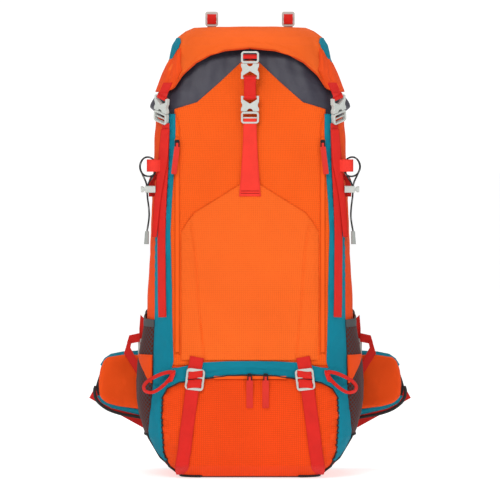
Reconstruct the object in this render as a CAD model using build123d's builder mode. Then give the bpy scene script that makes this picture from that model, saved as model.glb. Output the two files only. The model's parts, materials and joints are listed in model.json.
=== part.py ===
"""Hiking backpack with a lift-up hood, front and base compartments, harness and hip belt.

Row frame in millimetres: +Z up, -Y is the outer front, +Y is the wearer's side, origin at the
centre of the base's lower face. "left" is the -X side. Each piece is one STEP file in parts/.
"""

from build123d import *
from math import atan2, cos, radians, sin, tan
import os

# ---- driving dimensions -------------------------------------------------------------------
BACK_Y = 106.0  # plane where the bag's walls meet the padded back
WALL = 2.5  # sewn wall, fabric with its foam and lining
BASE_H = 22.0  # height of the base tray
CORNER_R = 55.0  # plan radius of the two front corners
COLLAR_Z = 593.0  # seam between the walls and the collar
MOUTH_Z = 700.0  # top edge of the collar
YOKE_Z = 205.0  # top seam of the arched yoke
DIVIDER_Z = 188.0  # shelf between the two compartments
FIT = 0.5  # gap left between a soft piece and what it lies on
STRAP_T = 1.6  # webbing thickness
WIDE = 25.0  # wide webbing
NARROW = 20.0  # narrow webbing
BACK_T = 14.0  # padded back
SHEET_T = 1.5  # frame sheet
STAY_T = 3.0  # aluminium stay
CORD_D = 3.0  # elastic cord
LID_GAP = 2.0  # gap between the hood's skirt and the collar
LID_TOP = 752.0  # crown of the hood
HINGE_Y = 110.0  # seam that the hood turns about
HINGE_Z = 700.0
ZIP_X = 121.0  # front zips, each side of the middle
ZIP_TOP = 568.0
ZIP_LOW = 212.0
BASE_ZIP_Z = 170.0
TRAVEL_BUTTON = 3.5  # cord lock button
WING_Y = 127.0  # front face of the hip belt wings
WING_T = 12.0
WING_PIVOT_X = 96.0  # seam that a wing turns about

# height, half width, front y and front corner radius of the bag's plan section
SECTIONS = [
    (0.0, 112.0, -88.0, 30.0),
    (BASE_H, 142.0, -116.0, 45.0),
    (70.0, 170.0, -132.0, CORNER_R),
    (130.0, 176.0, -136.0, CORNER_R),
    (YOKE_Z, 176.0, -130.0, CORNER_R),
    (560.0, 160.0, -122.0, CORNER_R),
    (625.0, 156.0, -116.0, CORNER_R),
    (645.0, 151.0, -112.0, CORNER_R),
    (MOUTH_Z, 124.0, -94.0, 48.0),
]
PAST_BACK = 80.0  # how far the lofts run past the back plane before they are cut

os.makedirs("parts", exist_ok=True)


# ---- shared shapes --------------------------------------------------------------------------
def section_at(z):
    """Half width, front y and corner radius at height z, straight between the sections."""
    for low, high in zip(SECTIONS, SECTIONS[1:]):
        if z <= high[0]:
            share = (z - low[0]) / (high[0] - low[0])
            return tuple(a + share * (b - a) for a, b in zip(low[1:], high[1:]))
    return SECTIONS[-1][1:]


def front_y(z, x=0.0):
    """Front surface's y at height z and sideways place x."""
    half, y, r = section_at(z)
    past = abs(x) - (half - r)
    return y if past <= 0 else y + r - (r * r - min(past, r) ** 2) ** 0.5


def save(part, name):
    part.label = name
    export_step(part, f"parts/{name}.step")


def both(part):
    """A piece and its mirror image across the middle plane, as one group."""
    return group(part, mirror(part, about=Plane.YZ))


def group(*parts):
    """Several solids saved as one node."""
    return Compound(children=[solid for part in parts for solid in part.solids()])


def bag_loft(inset, z_low, z_high):
    """Closed solid of the bag's outline, taken in by inset, between two heights."""
    heights = [z_low] + [s[0] for s in SECTIONS if z_low < s[0] < z_high] + [z_high]
    with BuildPart() as body:
        for z in heights:
            half, y, r = section_at(z)
            depth = BACK_Y + PAST_BACK - y
            with BuildSketch(Plane.XY.offset(z)):
                with Locations((0, (BACK_Y + PAST_BACK + y) / 2)):
                    RectangleRounded(2 * (half - inset), depth - 2 * inset, r - inset)
        loft(ruled=True)
        split(bisect_by=Plane.XZ.offset(-BACK_Y), keep=Keep.TOP)
    return body.part


def prism(points, y_low, y_high):
    """An outline in the front plane (x, z), drawn out from y_low to y_high."""
    with BuildPart() as block:
        with BuildSketch(Plane.XZ.offset(-y_high)):
            with BuildLine():
                Polyline(*points, close=True)
            make_face()
        extrude(amount=y_high - y_low)
    return block.part


def ribbon(points, thick):
    """Outline of a strip of constant thickness to the left of a run of points, with mitred bends."""
    sides = []
    for i, p in enumerate(points):
        before = points[i - 1] if i else None
        after = points[i + 1] if i + 1 < len(points) else None
        turn = [atan2(b[1] - a[1], b[0] - a[0]) for a, b in ((before, p), (p, after)) if a and b]
        mid = atan2(sum(sin(t) for t in turn), sum(cos(t) for t in turn))
        reach = thick / cos(turn[0] - mid)
        sides.append((p[0] - reach * sin(mid), p[1] + reach * cos(mid)))
    return list(points) + sides[::-1]


def strap(plane, points, width, thick=STRAP_T):
    """Webbing whose edge follows points in the plane, centred on the plane across its width."""
    with BuildPart() as band:
        with BuildSketch(plane):
            with BuildLine():
                Polyline(*ribbon(points, thick), close=True)
            make_face()
        extrude(amount=width / 2, both=True)
    return band.part


def cord(points, diameter=CORD_D):
    """Round cord along straight runs joined by the largest arcs that the runs allow."""
    runs = [(Vector(*b) - Vector(*a)) for a, b in zip(points, points[1:])]
    radii = []
    for one, two in zip(runs, runs[1:]):
        turn = radians(one.get_angle(two))
        radii.append(0.45 * min(one.length, two.length) / tan(turn / 2))
    with BuildPart() as tube:
        with BuildLine() as path:
            FilletPolyline(*points, radius=radii)
        with BuildSketch(Plane(origin=path.line @ 0, z_dir=path.line % 0)):
            Circle(diameter / 2)
        sweep(transition=Transition.ROUND)
    return tube.part


def at_plane(part, plane):
    """A piece drawn at the origin, set into a plane."""
    return plane.location * part


# ---- buckles: drawn flat, u across, v along the strap, w outwards -----------------------------
BUCKLE_W = 30.0
BUCKLE_T = 7.0
BUCKLE_RIM = 3.4
FRAME_H = 20.0  # frame half, without its prongs
SOCKET_H = 26.0
PRONG = 7.0
PRONG_W = 4.0
PRONG_T = 3.0
PRONG_X = 8.0
PRONG_GAP = 1.1
BAR_T = 2.2
WRAP_T = 1.5  # webbing wrapped round a bar
WRAP_GAP = 0.3
PIN_PLAY = 0.08  # radial play of anything that turns on a pin


def buckle_frame():
    """Half with the strap bar: a rounded loop whose top edge carries two prongs, v from -20 to 7."""
    with BuildPart() as frame:
        with BuildSketch():
            with Locations((0, -FRAME_H / 2)):
                RectangleRounded(BUCKLE_W, FRAME_H, 5)
            with Locations((0, -FRAME_H / 2 - 0.4)):
                RectangleRounded(BUCKLE_W - 2 * BUCKLE_RIM, FRAME_H - 2 * BUCKLE_RIM, 2, mode=Mode.SUBTRACT)
        extrude(amount=BUCKLE_T / 2, both=True)
        chamfer(frame.faces().group_by(Axis.Z)[-1].edges(), 0.7)
        with Locations((0, -FRAME_H / 2 - 0.4)):
            Box(BUCKLE_W - BUCKLE_RIM, BAR_T, BAR_T)
        with Locations((-PRONG_X, PRONG / 2 - 1), (PRONG_X, PRONG / 2 - 1)):
            Box(PRONG_W, PRONG + 2, PRONG_T)
    return frame.part


def buckle_socket():
    """Half with the crossed face: sockets for the prongs below, two legs and a strap bar above."""
    waist = BUCKLE_W / 2 - 5
    gap = 0.4
    with BuildPart() as socket:
        with BuildSketch():
            with BuildLine():
                Polyline(
                    (-BUCKLE_W / 2, gap), (BUCKLE_W / 2, gap), (BUCKLE_W / 2, 5), (waist + 3, 9),
                    (waist + 3, 12), (BUCKLE_W / 2, 16), (BUCKLE_W / 2, SOCKET_H), (-BUCKLE_W / 2, SOCKET_H),
                    (-BUCKLE_W / 2, 16), (-waist - 3, 12), (-waist - 3, 9), (-BUCKLE_W / 2, 5), close=True,
                )
            make_face()
            with BuildLine():
                Polyline((-11.5, SOCKET_H + 1), (-11.5, 20), (0, 13), (11.5, 20), (11.5, SOCKET_H + 1), close=True)
            make_face(mode=Mode.SUBTRACT)
        extrude(amount=BUCKLE_T / 2, both=True)
        chamfer(socket.faces().group_by(Axis.Z)[-1].edges(), 0.6)
        with Locations((0, SOCKET_H - BAR_T / 2 - 0.6, -1)):
            Box(BUCKLE_W - 3, BAR_T, BAR_T)
        with Locations((-PRONG_X, PRONG / 2), (PRONG_X, PRONG / 2)):
            Box(PRONG_W + 2 * PRONG_GAP, PRONG + 3, PRONG_T + 2 * PRONG_GAP, mode=Mode.SUBTRACT)
        with Locations((0, 0)):
            Cylinder(5, 2 * BUCKLE_T, mode=Mode.SUBTRACT)
    return socket.part


SLEEVE = BAR_T + 2 * WRAP_GAP + 2 * WRAP_T  # outside size of a webbing turn round a bar
BAR_DEEP = 1.0  # a socket's bar lies this far behind its mid plane


def rim_clearance():
    """Space that webbing leaves free round the rim below a buckle frame's bar."""
    with BuildPart() as space:
        with Locations((0, -FRAME_H + BUCKLE_RIM / 2, 0)):
            Box(BUCKLE_W + 2, BUCKLE_RIM + 4.2, BUCKLE_T + 1.4)
    return space.part


def bar_wrap(width):
    """Webbing turned once round a bar along X at the origin, as a closed sleeve."""
    with BuildPart() as sleeve:
        with BuildSketch(Plane.YZ):
            RectangleRounded(SLEEVE, SLEEVE, 1.6)
            Rectangle(SLEEVE - 2 * WRAP_T, SLEEVE - 2 * WRAP_T, mode=Mode.SUBTRACT)
        extrude(amount=width / 2, both=True)
    return sleeve.part


FRAME_BAR_V = -FRAME_H / 2 - 0.4
SOCKET_BAR_V = SOCKET_H - BAR_T / 2 - 0.6
LOCK_W = 31.0
LOCK_H = 36.0
LOCK_T = 4.0


def ladderlock():
    """Adjuster for webbing: a rounded frame with two crossbars, drawn flat about its middle."""
    with BuildPart() as lock:
        with BuildSketch():
            RectangleRounded(LOCK_W, LOCK_H, 6)
            with Locations((0, 9), (0, 0), (0, -10.5)):
                RectangleRounded(LOCK_W - 7, 5.6, 1, mode=Mode.SUBTRACT)
        extrude(amount=LOCK_T / 2, both=True)
        chamfer(lock.faces().group_by(Axis.Z)[-1].edges(), 0.8)
    return lock.part


# ---- bag walls --------------------------------------------------------------------------------
def bag_walls():
    """The sewn tube, cut into its panels along the seams."""
    outer = bag_loft(0, 0, MOUTH_Z)
    inner = bag_loft(WALL, WALL, MOUTH_Z)
    shell = outer - inner
    front = prism(
        [(-126, YOKE_Z), (-126, 615), (-86, 627), (0, 696), (86, 627), (126, 615), (126, YOKE_Z)],
        -200, -40,
    )
    lower = prism(
        [(-122, BASE_H), (-146, 60), (-146, 110), (-125, 150), (-60, 172),
         (60, 172), (125, 150), (146, 110), (146, 60), (122, BASE_H)],
        -200, -40,
    )
    arch = prism(
        [(-190, BASE_H), (-190, 150), (-126, YOKE_Z), (126, YOKE_Z), (190, 150), (190, BASE_H)],
        -200, -85,
    )
    tray = Pos(0, 0, BASE_H / 2) * Box(500, 500, BASE_H)
    upper = Pos(0, 0, COLLAR_Z + 100) * Box(500, 500, 200)
    right = Pos(250, 0, 400) * Box(500, 500, 800)
    left = Pos(-250, 0, 400) * Box(500, 500, 800)
    rest = shell - tray - front - lower - arch
    save(shell & tray, "base_tray")
    save((shell - tray) & front, "front_panel")
    save((shell - tray) & lower, "lower_front_panel")
    save((shell - tray - lower - front) & arch, "yoke_arch")
    save(rest & upper, "collar")
    save((rest - upper) & left, "left_side_panel")
    save((rest - upper) & right, "right_side_panel")


def divider():
    """Shelf between the compartments, with the drawcord hole that lets them be joined."""
    half, y, r = section_at(DIVIDER_Z)
    gap = WALL + 1.6 * FIT
    with BuildPart() as shelf:
        with BuildSketch(Plane.XY.offset(DIVIDER_Z)):
            with Locations((0, (BACK_Y - 5 + y) / 2)):
                RectangleRounded(2 * (half - gap), BACK_Y - 5 - y - 2 * gap, r - gap)
            Circle(55, mode=Mode.SUBTRACT)
        extrude(amount=1.2)
    save(shelf.part, "divider")


# ---- back and frame ---------------------------------------------------------------------------
STAY_X = 55.0


def back_and_frame():
    """Padded back, stiffening sheet and two aluminium stays in front of it."""
    with BuildPart() as pad:
        with BuildSketch(Plane.XZ.offset(-BACK_Y - BACK_T)):
            with BuildLine():
                Polyline(
                    (-112, 3), (112, 3), (142, 24), (172, 90), (174, 200), (158, 560), (150, 640), (126, 692),
                    (-126, 692), (-150, 640), (-158, 560), (-174, 200), (-172, 90), (-142, 24), close=True,
                )
            make_face()
        extrude(amount=BACK_T - 0.2)
        fillet(pad.faces().sort_by(Axis.Y)[-1].edges(), 5)
    save(pad.part, "back_panel")
    with BuildPart() as sheet:
        with BuildSketch(Plane.XZ.offset(-BACK_Y)):
            with Locations((0, 430)):
                RectangleRounded(210, 470, 25)
        extrude(amount=SHEET_T)
    save(sheet.part, "frame_sheet")
    with BuildPart() as stay:
        with BuildSketch(Plane.XZ.offset(-BACK_Y + SHEET_T + 0.3)):
            with Locations((-STAY_X, 430)):
                RectangleRounded(25, 460, 6)
        extrude(amount=STAY_T)
    save(both(stay.part), "frame_stays")


# ---- hood ----------------------------------------------------------------------------------------
LID_BACK = HINGE_Y - 4
LID_HEM_Z = 640.0  # lowest point of the skirt, at the sides
# height, half width, front y and front corner radius of the hood's plan section
LID_SECTIONS = [
    (600.0, 166.0, -130.0, 62.0),
    (640.0, 159.0, -124.0, 60.0),
    (676.0, 145.0, -114.0, 56.0),
    (700.0, 133.0, -106.0, 52.0),
    (722.0, 128.0, -100.0, 50.0),
    (737.0, 120.0, -90.0, 46.0),
    (LID_TOP, 96.0, -66.0, 36.0),
]
REAR_SKIRT_Z = HINGE_Z + 2
ZIP_SLOT_Z = 727.0  # mouth of the hood's pocket, in its rear face
LID_BODY = []


def lid():
    """Hood with its skirt: hollow pocket above, arched front hem, clear of the collar below."""
    with BuildPart() as hood:
        for z, half, y, r in LID_SECTIONS:
            with BuildSketch(Plane.XY.offset(z)):
                with Locations((0, (y + LID_BACK + PAST_BACK) / 2)):
                    RectangleRounded(2 * half, LID_BACK + PAST_BACK - y, r)
        loft(ruled=True)
        split(bisect_by=Plane.XZ.offset(-LID_BACK), keep=Keep.TOP)
    core = bag_loft(-LID_GAP, BASE_H, MOUTH_Z)
    half, y, r = section_at(MOUTH_Z)
    cap = Pos(0, (y + 60) / 2, MOUTH_Z + 1) * Box(2 * half - 10, 60 - y + 90, 6)
    pocket = prism([(-104, 712), (104, 712), (84, 744), (-84, 744)], -60, 90)
    hem = prism(
        [(-200, 500), (-200, LID_HEM_Z), (-150, LID_HEM_Z), (-128, 644), (-108, 666), (-80, 688), (-44, 704),
         (0, 710), (44, 704), (80, 688), (108, 666), (128, 644), (150, LID_HEM_Z), (200, LID_HEM_Z), (200, 500)],
        -200, -60,
    )
    skirt_cut = Pos(0, 0, LID_HEM_Z - 70) * Box(500, 500, 140)
    rear_cut = Pos(0, LID_BACK, REAR_SKIRT_Z - 100) * Box(500, 30, 200)
    slot = Pos(0, LID_BACK - 8, ZIP_SLOT_Z) * Box(176, 30, 8)
    solid = hood.part - core - cap - hem - skirt_cut - rear_cut - pocket - slot
    LID_BODY.append(max(solid.solids(), key=lambda s: s.volume))
    save(LID_BODY[0], "lid")


# ---- front strap with its two buckles -----------------------------------------------------------
UPPER_Z = 692.0  # height where the upper buckle's halves meet
LOWER_Z = 612.0  # height where the lower buckle's halves meet
UPPER_Y = -127.0  # mid plane of the upper buckle
LOWER_Y = -126.0
TAB_Z = 470.0  # lower end of the front tab
TAB_HALF = 18.0  # half its width there
TAB_TOP_HALF = 11.5


def front_strap():
    """The upper frame and its webbing go with the hood and are returned; the rest hangs on the front tab."""
    upper = Plane(origin=(0, UPPER_Y, UPPER_Z), x_dir=(-1, 0, 0), z_dir=(0, -1, 0))
    lower = Plane(origin=(0, LOWER_Y, LOWER_Z), x_dir=(1, 0, 0), z_dir=(0, -1, 0))
    sockets = [at_plane(buckle_socket(), upper), at_plane(buckle_socket(), lower)]
    save(group(*sockets, at_plane(buckle_frame(), lower)), "front_buckles")
    top = UPPER_Z - SOCKET_BAR_V
    low = LOWER_Z + SOCKET_BAR_V
    half = SLEEVE / 2
    run = [(LOWER_Y + BAR_DEEP, low + half - FIT), (UPPER_Y + BAR_DEEP, top - half + FIT)]
    middle = strap(Plane.YZ, run, NARROW)
    middle += Pos(0, UPPER_Y + BAR_DEEP, top) * bar_wrap(NARROW)
    middle += Pos(0, LOWER_Y + BAR_DEEP, low) * bar_wrap(NARROW)
    save(middle, "front_middle_strap")
    # tab sewn to the front panel: wider at its stitched lower end, wrapped on the lower frame's bar
    z_bar = LOWER_Z + FRAME_BAR_V
    behind = LOWER_Y + half + STRAP_T
    rise = [(front_y(z) - FIT, z) for z in (TAB_Z, 560.0, 584.0)]
    rise += [(behind + 0.8, z_bar - 6), (behind, z_bar - 2), (behind, z_bar + half)]
    taper = [(-TAB_TOP_HALF, z_bar + 5), (TAB_TOP_HALF, z_bar + 5), (TAB_TOP_HALF, z_bar - 4),
             (TAB_HALF, TAB_Z - 5), (-TAB_HALF, TAB_Z - 5), (-TAB_TOP_HALF, z_bar - 4)]
    tab = strap(Plane.YZ, rise, 2 * TAB_HALF) & prism(taper, -200, 0)
    tab -= at_plane(rim_clearance(), lower)
    save(tab + Pos(0, LOWER_Y, z_bar) * bar_wrap(2 * TAB_TOP_HALF), "front_tab")
    # webbing from under the hood's hem, wrapped on the upper frame's bar
    z_top = UPPER_Z - FRAME_BAR_V
    web = strap(Plane.YZ, [(UPPER_Y + half - 1, z_top + 1.4), (-108, 705.2), (-97, 705.4)], 2 * TAB_TOP_HALF)
    web += Pos(0, UPPER_Y, z_top) * bar_wrap(2 * TAB_TOP_HALF)
    return at_plane(buckle_frame(), upper), web


# ---- side straps on the front corners -------------------------------------------------------------
SIDE_Z = 612.0  # height where a side buckle's halves meet
SIDE_ANGLE = 44.0  # degrees round the corner from the front
SIDE_STAND = 11.0  # how far a side buckle's mid plane stands off the corner
SIDE_W = 22.0
# height, degrees round the corner, and how far the webbing stands off the bag
SIDE_RUN = [(262, 21, 1.8), (345, 26, 1.8), (430, 31, 1.8), (515, 37, 1.8), (575, 42, 2.2), (588, 43.5, 4.5)]
TAIL_RUN = [(345, 46, 11), (430, 40, 8), (482, 36, 7), (525, 34, 6.8), (548, 37, 6.6), (580, 42.6, 4.9)]


def corner_point(z, angle, gap):
    """Point off the left front corner, and the outward direction there, at an angle round from the front."""
    half, y, r = section_at(z)
    out = Vector(-sin(radians(angle)), -cos(radians(angle)), 0)
    return Vector(-(half - r), y + r, z) + out * (r + gap), out


def corner_web(run, width):
    """Webbing that follows the left front corner through level sections."""
    with BuildPart() as web:
        for z, angle, gap in run:
            spot, out = corner_point(z, angle, gap)
            with BuildSketch(Plane(origin=spot, x_dir=out.cross(Vector(0, 0, 1)), z_dir=(0, 0, 1))):
                Rectangle(width, STRAP_T)
        loft(ruled=True)
    return web.part


def side_buckle_plane():
    """Plane of the left side buckle, its axis square to the line to the hinge so that the hood lifts it off."""
    spot, out = corner_point(SIDE_Z, SIDE_ANGLE, SIDE_STAND)
    lean = (spot.Z - HINGE_Z) / (HINGE_Y - spot.Y)
    up = Vector(0.05, lean, 1).normalized()
    out = (out - up * out.dot(up)).normalized()
    return Plane(origin=spot, x_dir=up.cross(out), z_dir=out)


def side_strap():
    """Left compression strap up to its buckle; returns the frame, the strap, the socket and its webbing."""
    plane = side_buckle_plane()
    half = SLEEVE / 2
    with BuildPart() as rise:
        spot, out = corner_point(*SIDE_RUN[-1])
        with BuildSketch(Plane(origin=spot, x_dir=out.cross(Vector(0, 0, 1)), z_dir=(0, 0, 1))):
            Rectangle(SIDE_W, STRAP_T)
        for v, depth in ((FRAME_BAR_V - half - 1.2, -4.4), (FRAME_BAR_V + half - 1, -half)):
            point = plane.from_local_coords(Vector(0, v, depth))
            with BuildSketch(Plane(origin=point, x_dir=plane.x_dir * -1, z_dir=plane.y_dir)):
                Rectangle(SIDE_W, STRAP_T)
        loft(ruled=True)
    sleeve = at_plane(Pos(0, FRAME_BAR_V, 0) * bar_wrap(SIDE_W), plane)
    main = corner_web(SIDE_RUN, SIDE_W) + rise.part + sleeve
    main -= at_plane(Pos(0, FRAME_BAR_V, 0) * Box(BUCKLE_W, SLEEVE - 2 * WRAP_T, SLEEVE - 2 * WRAP_T), plane)
    main -= at_plane(rim_clearance(), plane)
    tail = corner_web(TAIL_RUN, NARROW)
    with BuildPart() as hem:
        bar = plane.from_local_coords(Vector(0, SOCKET_BAR_V + half - 0.4, -BAR_DEEP))
        low = plane.from_local_coords(Vector(0, SOCKET_BAR_V + half + 2.5, -BAR_DEEP))
        for point, tilt in ((bar, plane.y_dir), (low, plane.y_dir)):
            with BuildSketch(Plane(origin=point, x_dir=plane.x_dir * -1, z_dir=tilt)):
                Rectangle(NARROW, STRAP_T)
        for z, gap in ((LID_HEM_Z + 2, 13.2), (LID_HEM_Z + 20, 13.2)):
            spot, out = corner_point(z, SIDE_ANGLE, gap)
            with BuildSketch(Plane(origin=spot, x_dir=out.cross(Vector(0, 0, 1)), z_dir=(0, 0, 1))):
                Rectangle(NARROW, STRAP_T)
        loft(ruled=True)
    socket_sleeve = at_plane(Pos(0, SOCKET_BAR_V, -BAR_DEEP) * bar_wrap(NARROW), plane)
    web = hem.part + socket_sleeve
    return at_plane(buckle_frame(), plane), group(main, tail), at_plane(buckle_socket(), plane), web


# ---- straps, locks and loops on the base and front --------------------------------------------------
BASE_STRAP_X = 112.0  # at the base seam
BASE_STRAP_LEAN = 7.0  # degrees, each strap leans in towards the top
BASE_LOCK_Z = 167.0
LOCK_BAR_UP = 4.5  # the two crossbars of a ladderlock, from its middle
LOCK_BAR_LOW = -5.25


def lock_wrap(width, v, bar):
    """Webbing turned round a ladderlock's crossbar of a given height, at v from its middle."""
    with BuildPart() as sleeve:
        with BuildSketch(Plane.YZ):
            with Locations((0, v)):
                Rectangle(LOCK_T + 2 * WRAP_GAP + 2 * WRAP_T, bar + 2 * WRAP_GAP + 2 * WRAP_T)
                Rectangle(LOCK_T + 2 * WRAP_GAP, bar + 2 * WRAP_GAP, mode=Mode.SUBTRACT)
        extrude(amount=width / 2, both=True)
    return sleeve.part


def base_strap():
    """Left strap over the base compartment: upper web, lower web and ladderlock, leaning in together."""
    lean = radians(BASE_STRAP_LEAN)
    place = Pos(-BASE_STRAP_X, 0, 0) * Rot(0, BASE_STRAP_LEAN, 0)

    def clear(z):
        return front_y(z, BASE_STRAP_X - z * tan(lean) - WIDE / 2) - 2 * FIT, z / cos(lean)

    middle = BASE_LOCK_Z / cos(lean)
    back = clear(BASE_LOCK_Z)[0] - 1.6
    y_lock = back - LOCK_T / 2 - WRAP_GAP - WRAP_T
    upper = strap(Plane.YZ, [(back, middle + 6), (back, middle + 14), clear(YOKE_Z - 2)], WIDE - 2)
    low_run = [clear(4), clear(BASE_H), clear(70), clear(126), (back, middle - 21), (back, middle - 4)]
    lower = strap(Plane.YZ, low_run, WIDE - 2)
    upper += Pos(0, y_lock, middle) * lock_wrap(WIDE - 2, LOCK_BAR_UP, 3.4)
    lower += Pos(0, y_lock, middle) * lock_wrap(WIDE - 2, LOCK_BAR_LOW, 4.9)
    lock = Pos(0, y_lock, middle) * Rot(90, 0, 0) * ladderlock()
    return place * upper, place * lower, place * lock


def gear_loop():
    """Left tool loop: a teardrop of narrow webbing sewn to the yoke's corner."""
    points = [(-131, 177), (-151, 175), (-171, 165), (-177, 155), (-171, 147), (-158, 147), (-142, 159)]
    with BuildPart() as loop:
        with BuildSketch(Plane.XZ.offset(139)):
            with BuildLine():
                Polyline(*ribbon(points[::-1], STRAP_T), close=True)
            make_face()
        extrude(amount=12)
        with Locations((-136, -137.1, 172.5)):
            Box(10, 8, 13)
    return loop.part


# ---- trekking pole holder: tab, elastic cord and cord lock ------------------------------------------
HOLDER_Y = -108.0
TAB_X = -161.8
TAB_Z_MID = 522.0
LOCK_X = -166.0
LOCK_Z = 482.5
LOCK_BODY = (17.0, 12.6, 11.4)
STEM_R = 4.4
BORE_R = 4.45
KNOB_R = 5.2
STRAND = 3.2  # spacing of the cord's two strands
CORD_X = -171.0
# the elastic's route on the left side: up from the end piece through the lock, one and a half turns
# through the tab, and back down to the end piece
CORD_ROUTE = [
    (-171.5, -106.4, 413), (-167.6, -106.4, 432), (-168.2, -106.4, 452), (-171.3, -106.4, 471),
    (-170.9, -106.4, 491), (-161.5, -106.2, 503.5), (-155.0, -106.0, 519), (-161.0, -106.5, 535),
    (-176.5, -107.8, 537), (-185.5, -108.2, 521), (-178.0, -108.6, 504.5), (-160.5, -109.9, 503.5),
    (-154.8, -109.9, 519), (-161.0, -110.2, 535), (-176.5, -112.0, 537), (-184.5, -113.0, 521),
    (-178.5, -112.4, 506), (-171.2, -109.6, 491), (-171.2, -109.6, 471), (-168.2, -109.6, 452),
    (-167.6, -109.6, 432), (-171.5, -109.6, 413),
]


def pole_tab():
    """Left webbing tab, a flat ring open up and down, and the short web behind the cord lock."""
    with BuildPart() as tab:
        with BuildSketch(Plane.XY.offset(TAB_Z_MID - NARROW / 2)):
            with Locations((TAB_X, HOLDER_Y)):
                RectangleRounded(20.6, 11.2, 3)
                RectangleRounded(17.4, 8, 1.5, mode=Mode.SUBTRACT)
        extrude(amount=NARROW)
    with BuildPart() as web:
        with Locations((-163.8, HOLDER_Y + 13, LOCK_Z)):
            Box(10.4, STRAP_T, 26)
    return tab.part, web.part


def cord_lock():
    """Left cord lock: body with its bracket, sprung button and spring."""
    out = LOCK_X - LOCK_BODY[0] / 2
    inner_end = LOCK_X + LOCK_BODY[0] / 2 - 2.5
    with BuildPart() as body:
        with Locations((LOCK_X, HOLDER_Y, LOCK_Z)):
            Box(*LOCK_BODY)
        fillet(body.edges().filter_by(Axis.X), 3)
        with Locations((LOCK_X + 1, HOLDER_Y + 8.8, LOCK_Z)):
            Box(7, 6.4, 5)
        with Locations(Location(((out + inner_end) / 2 - 1, HOLDER_Y, LOCK_Z), (0, 90, 0))):
            Cylinder(BORE_R, inner_end - out + 2, mode=Mode.SUBTRACT)
        with BuildSketch(Plane.XY.offset(LOCK_Z - LOCK_BODY[2])):
            with Locations((CORD_X, HOLDER_Y)):
                RectangleRounded(CORD_D + 1.2, STRAND + CORD_D + 1.2, 1.5)
        extrude(amount=2 * LOCK_BODY[2], mode=Mode.SUBTRACT)
    knob_in = out - TRAVEL_BUTTON - 0.3
    stem_end = inner_end - 5.5
    with BuildPart() as button:
        with Locations(Location((knob_in - 1.8, HOLDER_Y, LOCK_Z), (0, 90, 0))):
            Cylinder(KNOB_R, 3.6)
        fillet(button.edges().group_by(Axis.X)[0], 1.2)
        with Locations(Location(((knob_in + stem_end) / 2, HOLDER_Y, LOCK_Z), (0, 90, 0))):
            Cylinder(STEM_R, stem_end - knob_in)
        with BuildSketch(Plane.XY.offset(LOCK_Z - KNOB_R - 1)):
            with Locations((CORD_X - TRAVEL_BUTTON / 2, HOLDER_Y)):
                Rectangle(CORD_D + 1.2 + TRAVEL_BUTTON, STRAND + CORD_D + 0.4)
        extrude(amount=2 * KNOB_R + 2, mode=Mode.SUBTRACT)
    length = inner_end - stem_end - 0.9
    wire = Helix(pitch=length / 3, height=length, radius=3.3)
    with BuildPart() as spring:
        with BuildSketch(Plane(origin=wire @ 0, z_dir=wire % 0)):
            Circle(0.35)
        sweep(path=wire)
    coil = Pos(stem_end + 0.4, HOLDER_Y, LOCK_Z) * Rot(0, 90, 0) * spring.part
    return body.part, button.part, coil


def cord_end():
    """Left end piece gripping both ends of the elastic."""
    with BuildPart() as piece:
        with BuildSketch(Plane.XY.offset(412.7)):
            with Locations((-171.5, HOLDER_Y)):
                RectangleRounded(6.5, 9, 2.5)
        with BuildSketch(Plane.XY.offset(391)):
            with Locations((-172.5, HOLDER_Y)):
                RectangleRounded(8, 10, 3)
        loft()
    return piece.part


# ---- zips --------------------------------------------------------------------------------------------
PIN_R = 0.8
PIN_OUT = 4.4  # a slider's pin, from the track's face
SLIDE_GAP = 0.3
TRACK_T = 1.2


def zip_slider():
    """Slider on the plane of a track's face, with two cheeks and the pin for its pull."""
    with BuildPart() as slider:
        with Locations((0, 0, SLIDE_GAP + 1)):
            Box(8, 14, 2)
        fillet(slider.edges().filter_by(Axis.Z), 2.5)
        with Locations((-2.9, 0, PIN_OUT / 2 + 1.4), (2.9, 0, PIN_OUT / 2 + 1.4)):
            Box(1.4, 5, PIN_OUT - 0.4)
        with Locations(Location((0, 0, PIN_OUT), (0, 90, 0))):
            Cylinder(PIN_R, 5.8)
    return slider.part


def zip_pull(width, length, lean):
    """Pull hanging from a slider's pin: an eye, a neck and a tab that leans sideways by lean degrees."""
    with BuildPart() as pull:
        with BuildSketch(Plane.XY.offset(PIN_OUT - 1)):
            with Locations((0, -3)):
                Rectangle(4, 5)
            with Locations(Location((0, -4.6), lean)):
                with Locations((0, -length / 2)):
                    RectangleRounded(width, length, 1.5)
        extrude(amount=2)
        with Locations(Location((0, 0, PIN_OUT), (0, 90, 0))):
            Cylinder(1.9, 4)
            Cylinder(PIN_R + PIN_PLAY, 6, mode=Mode.SUBTRACT)
    return pull.part


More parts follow.
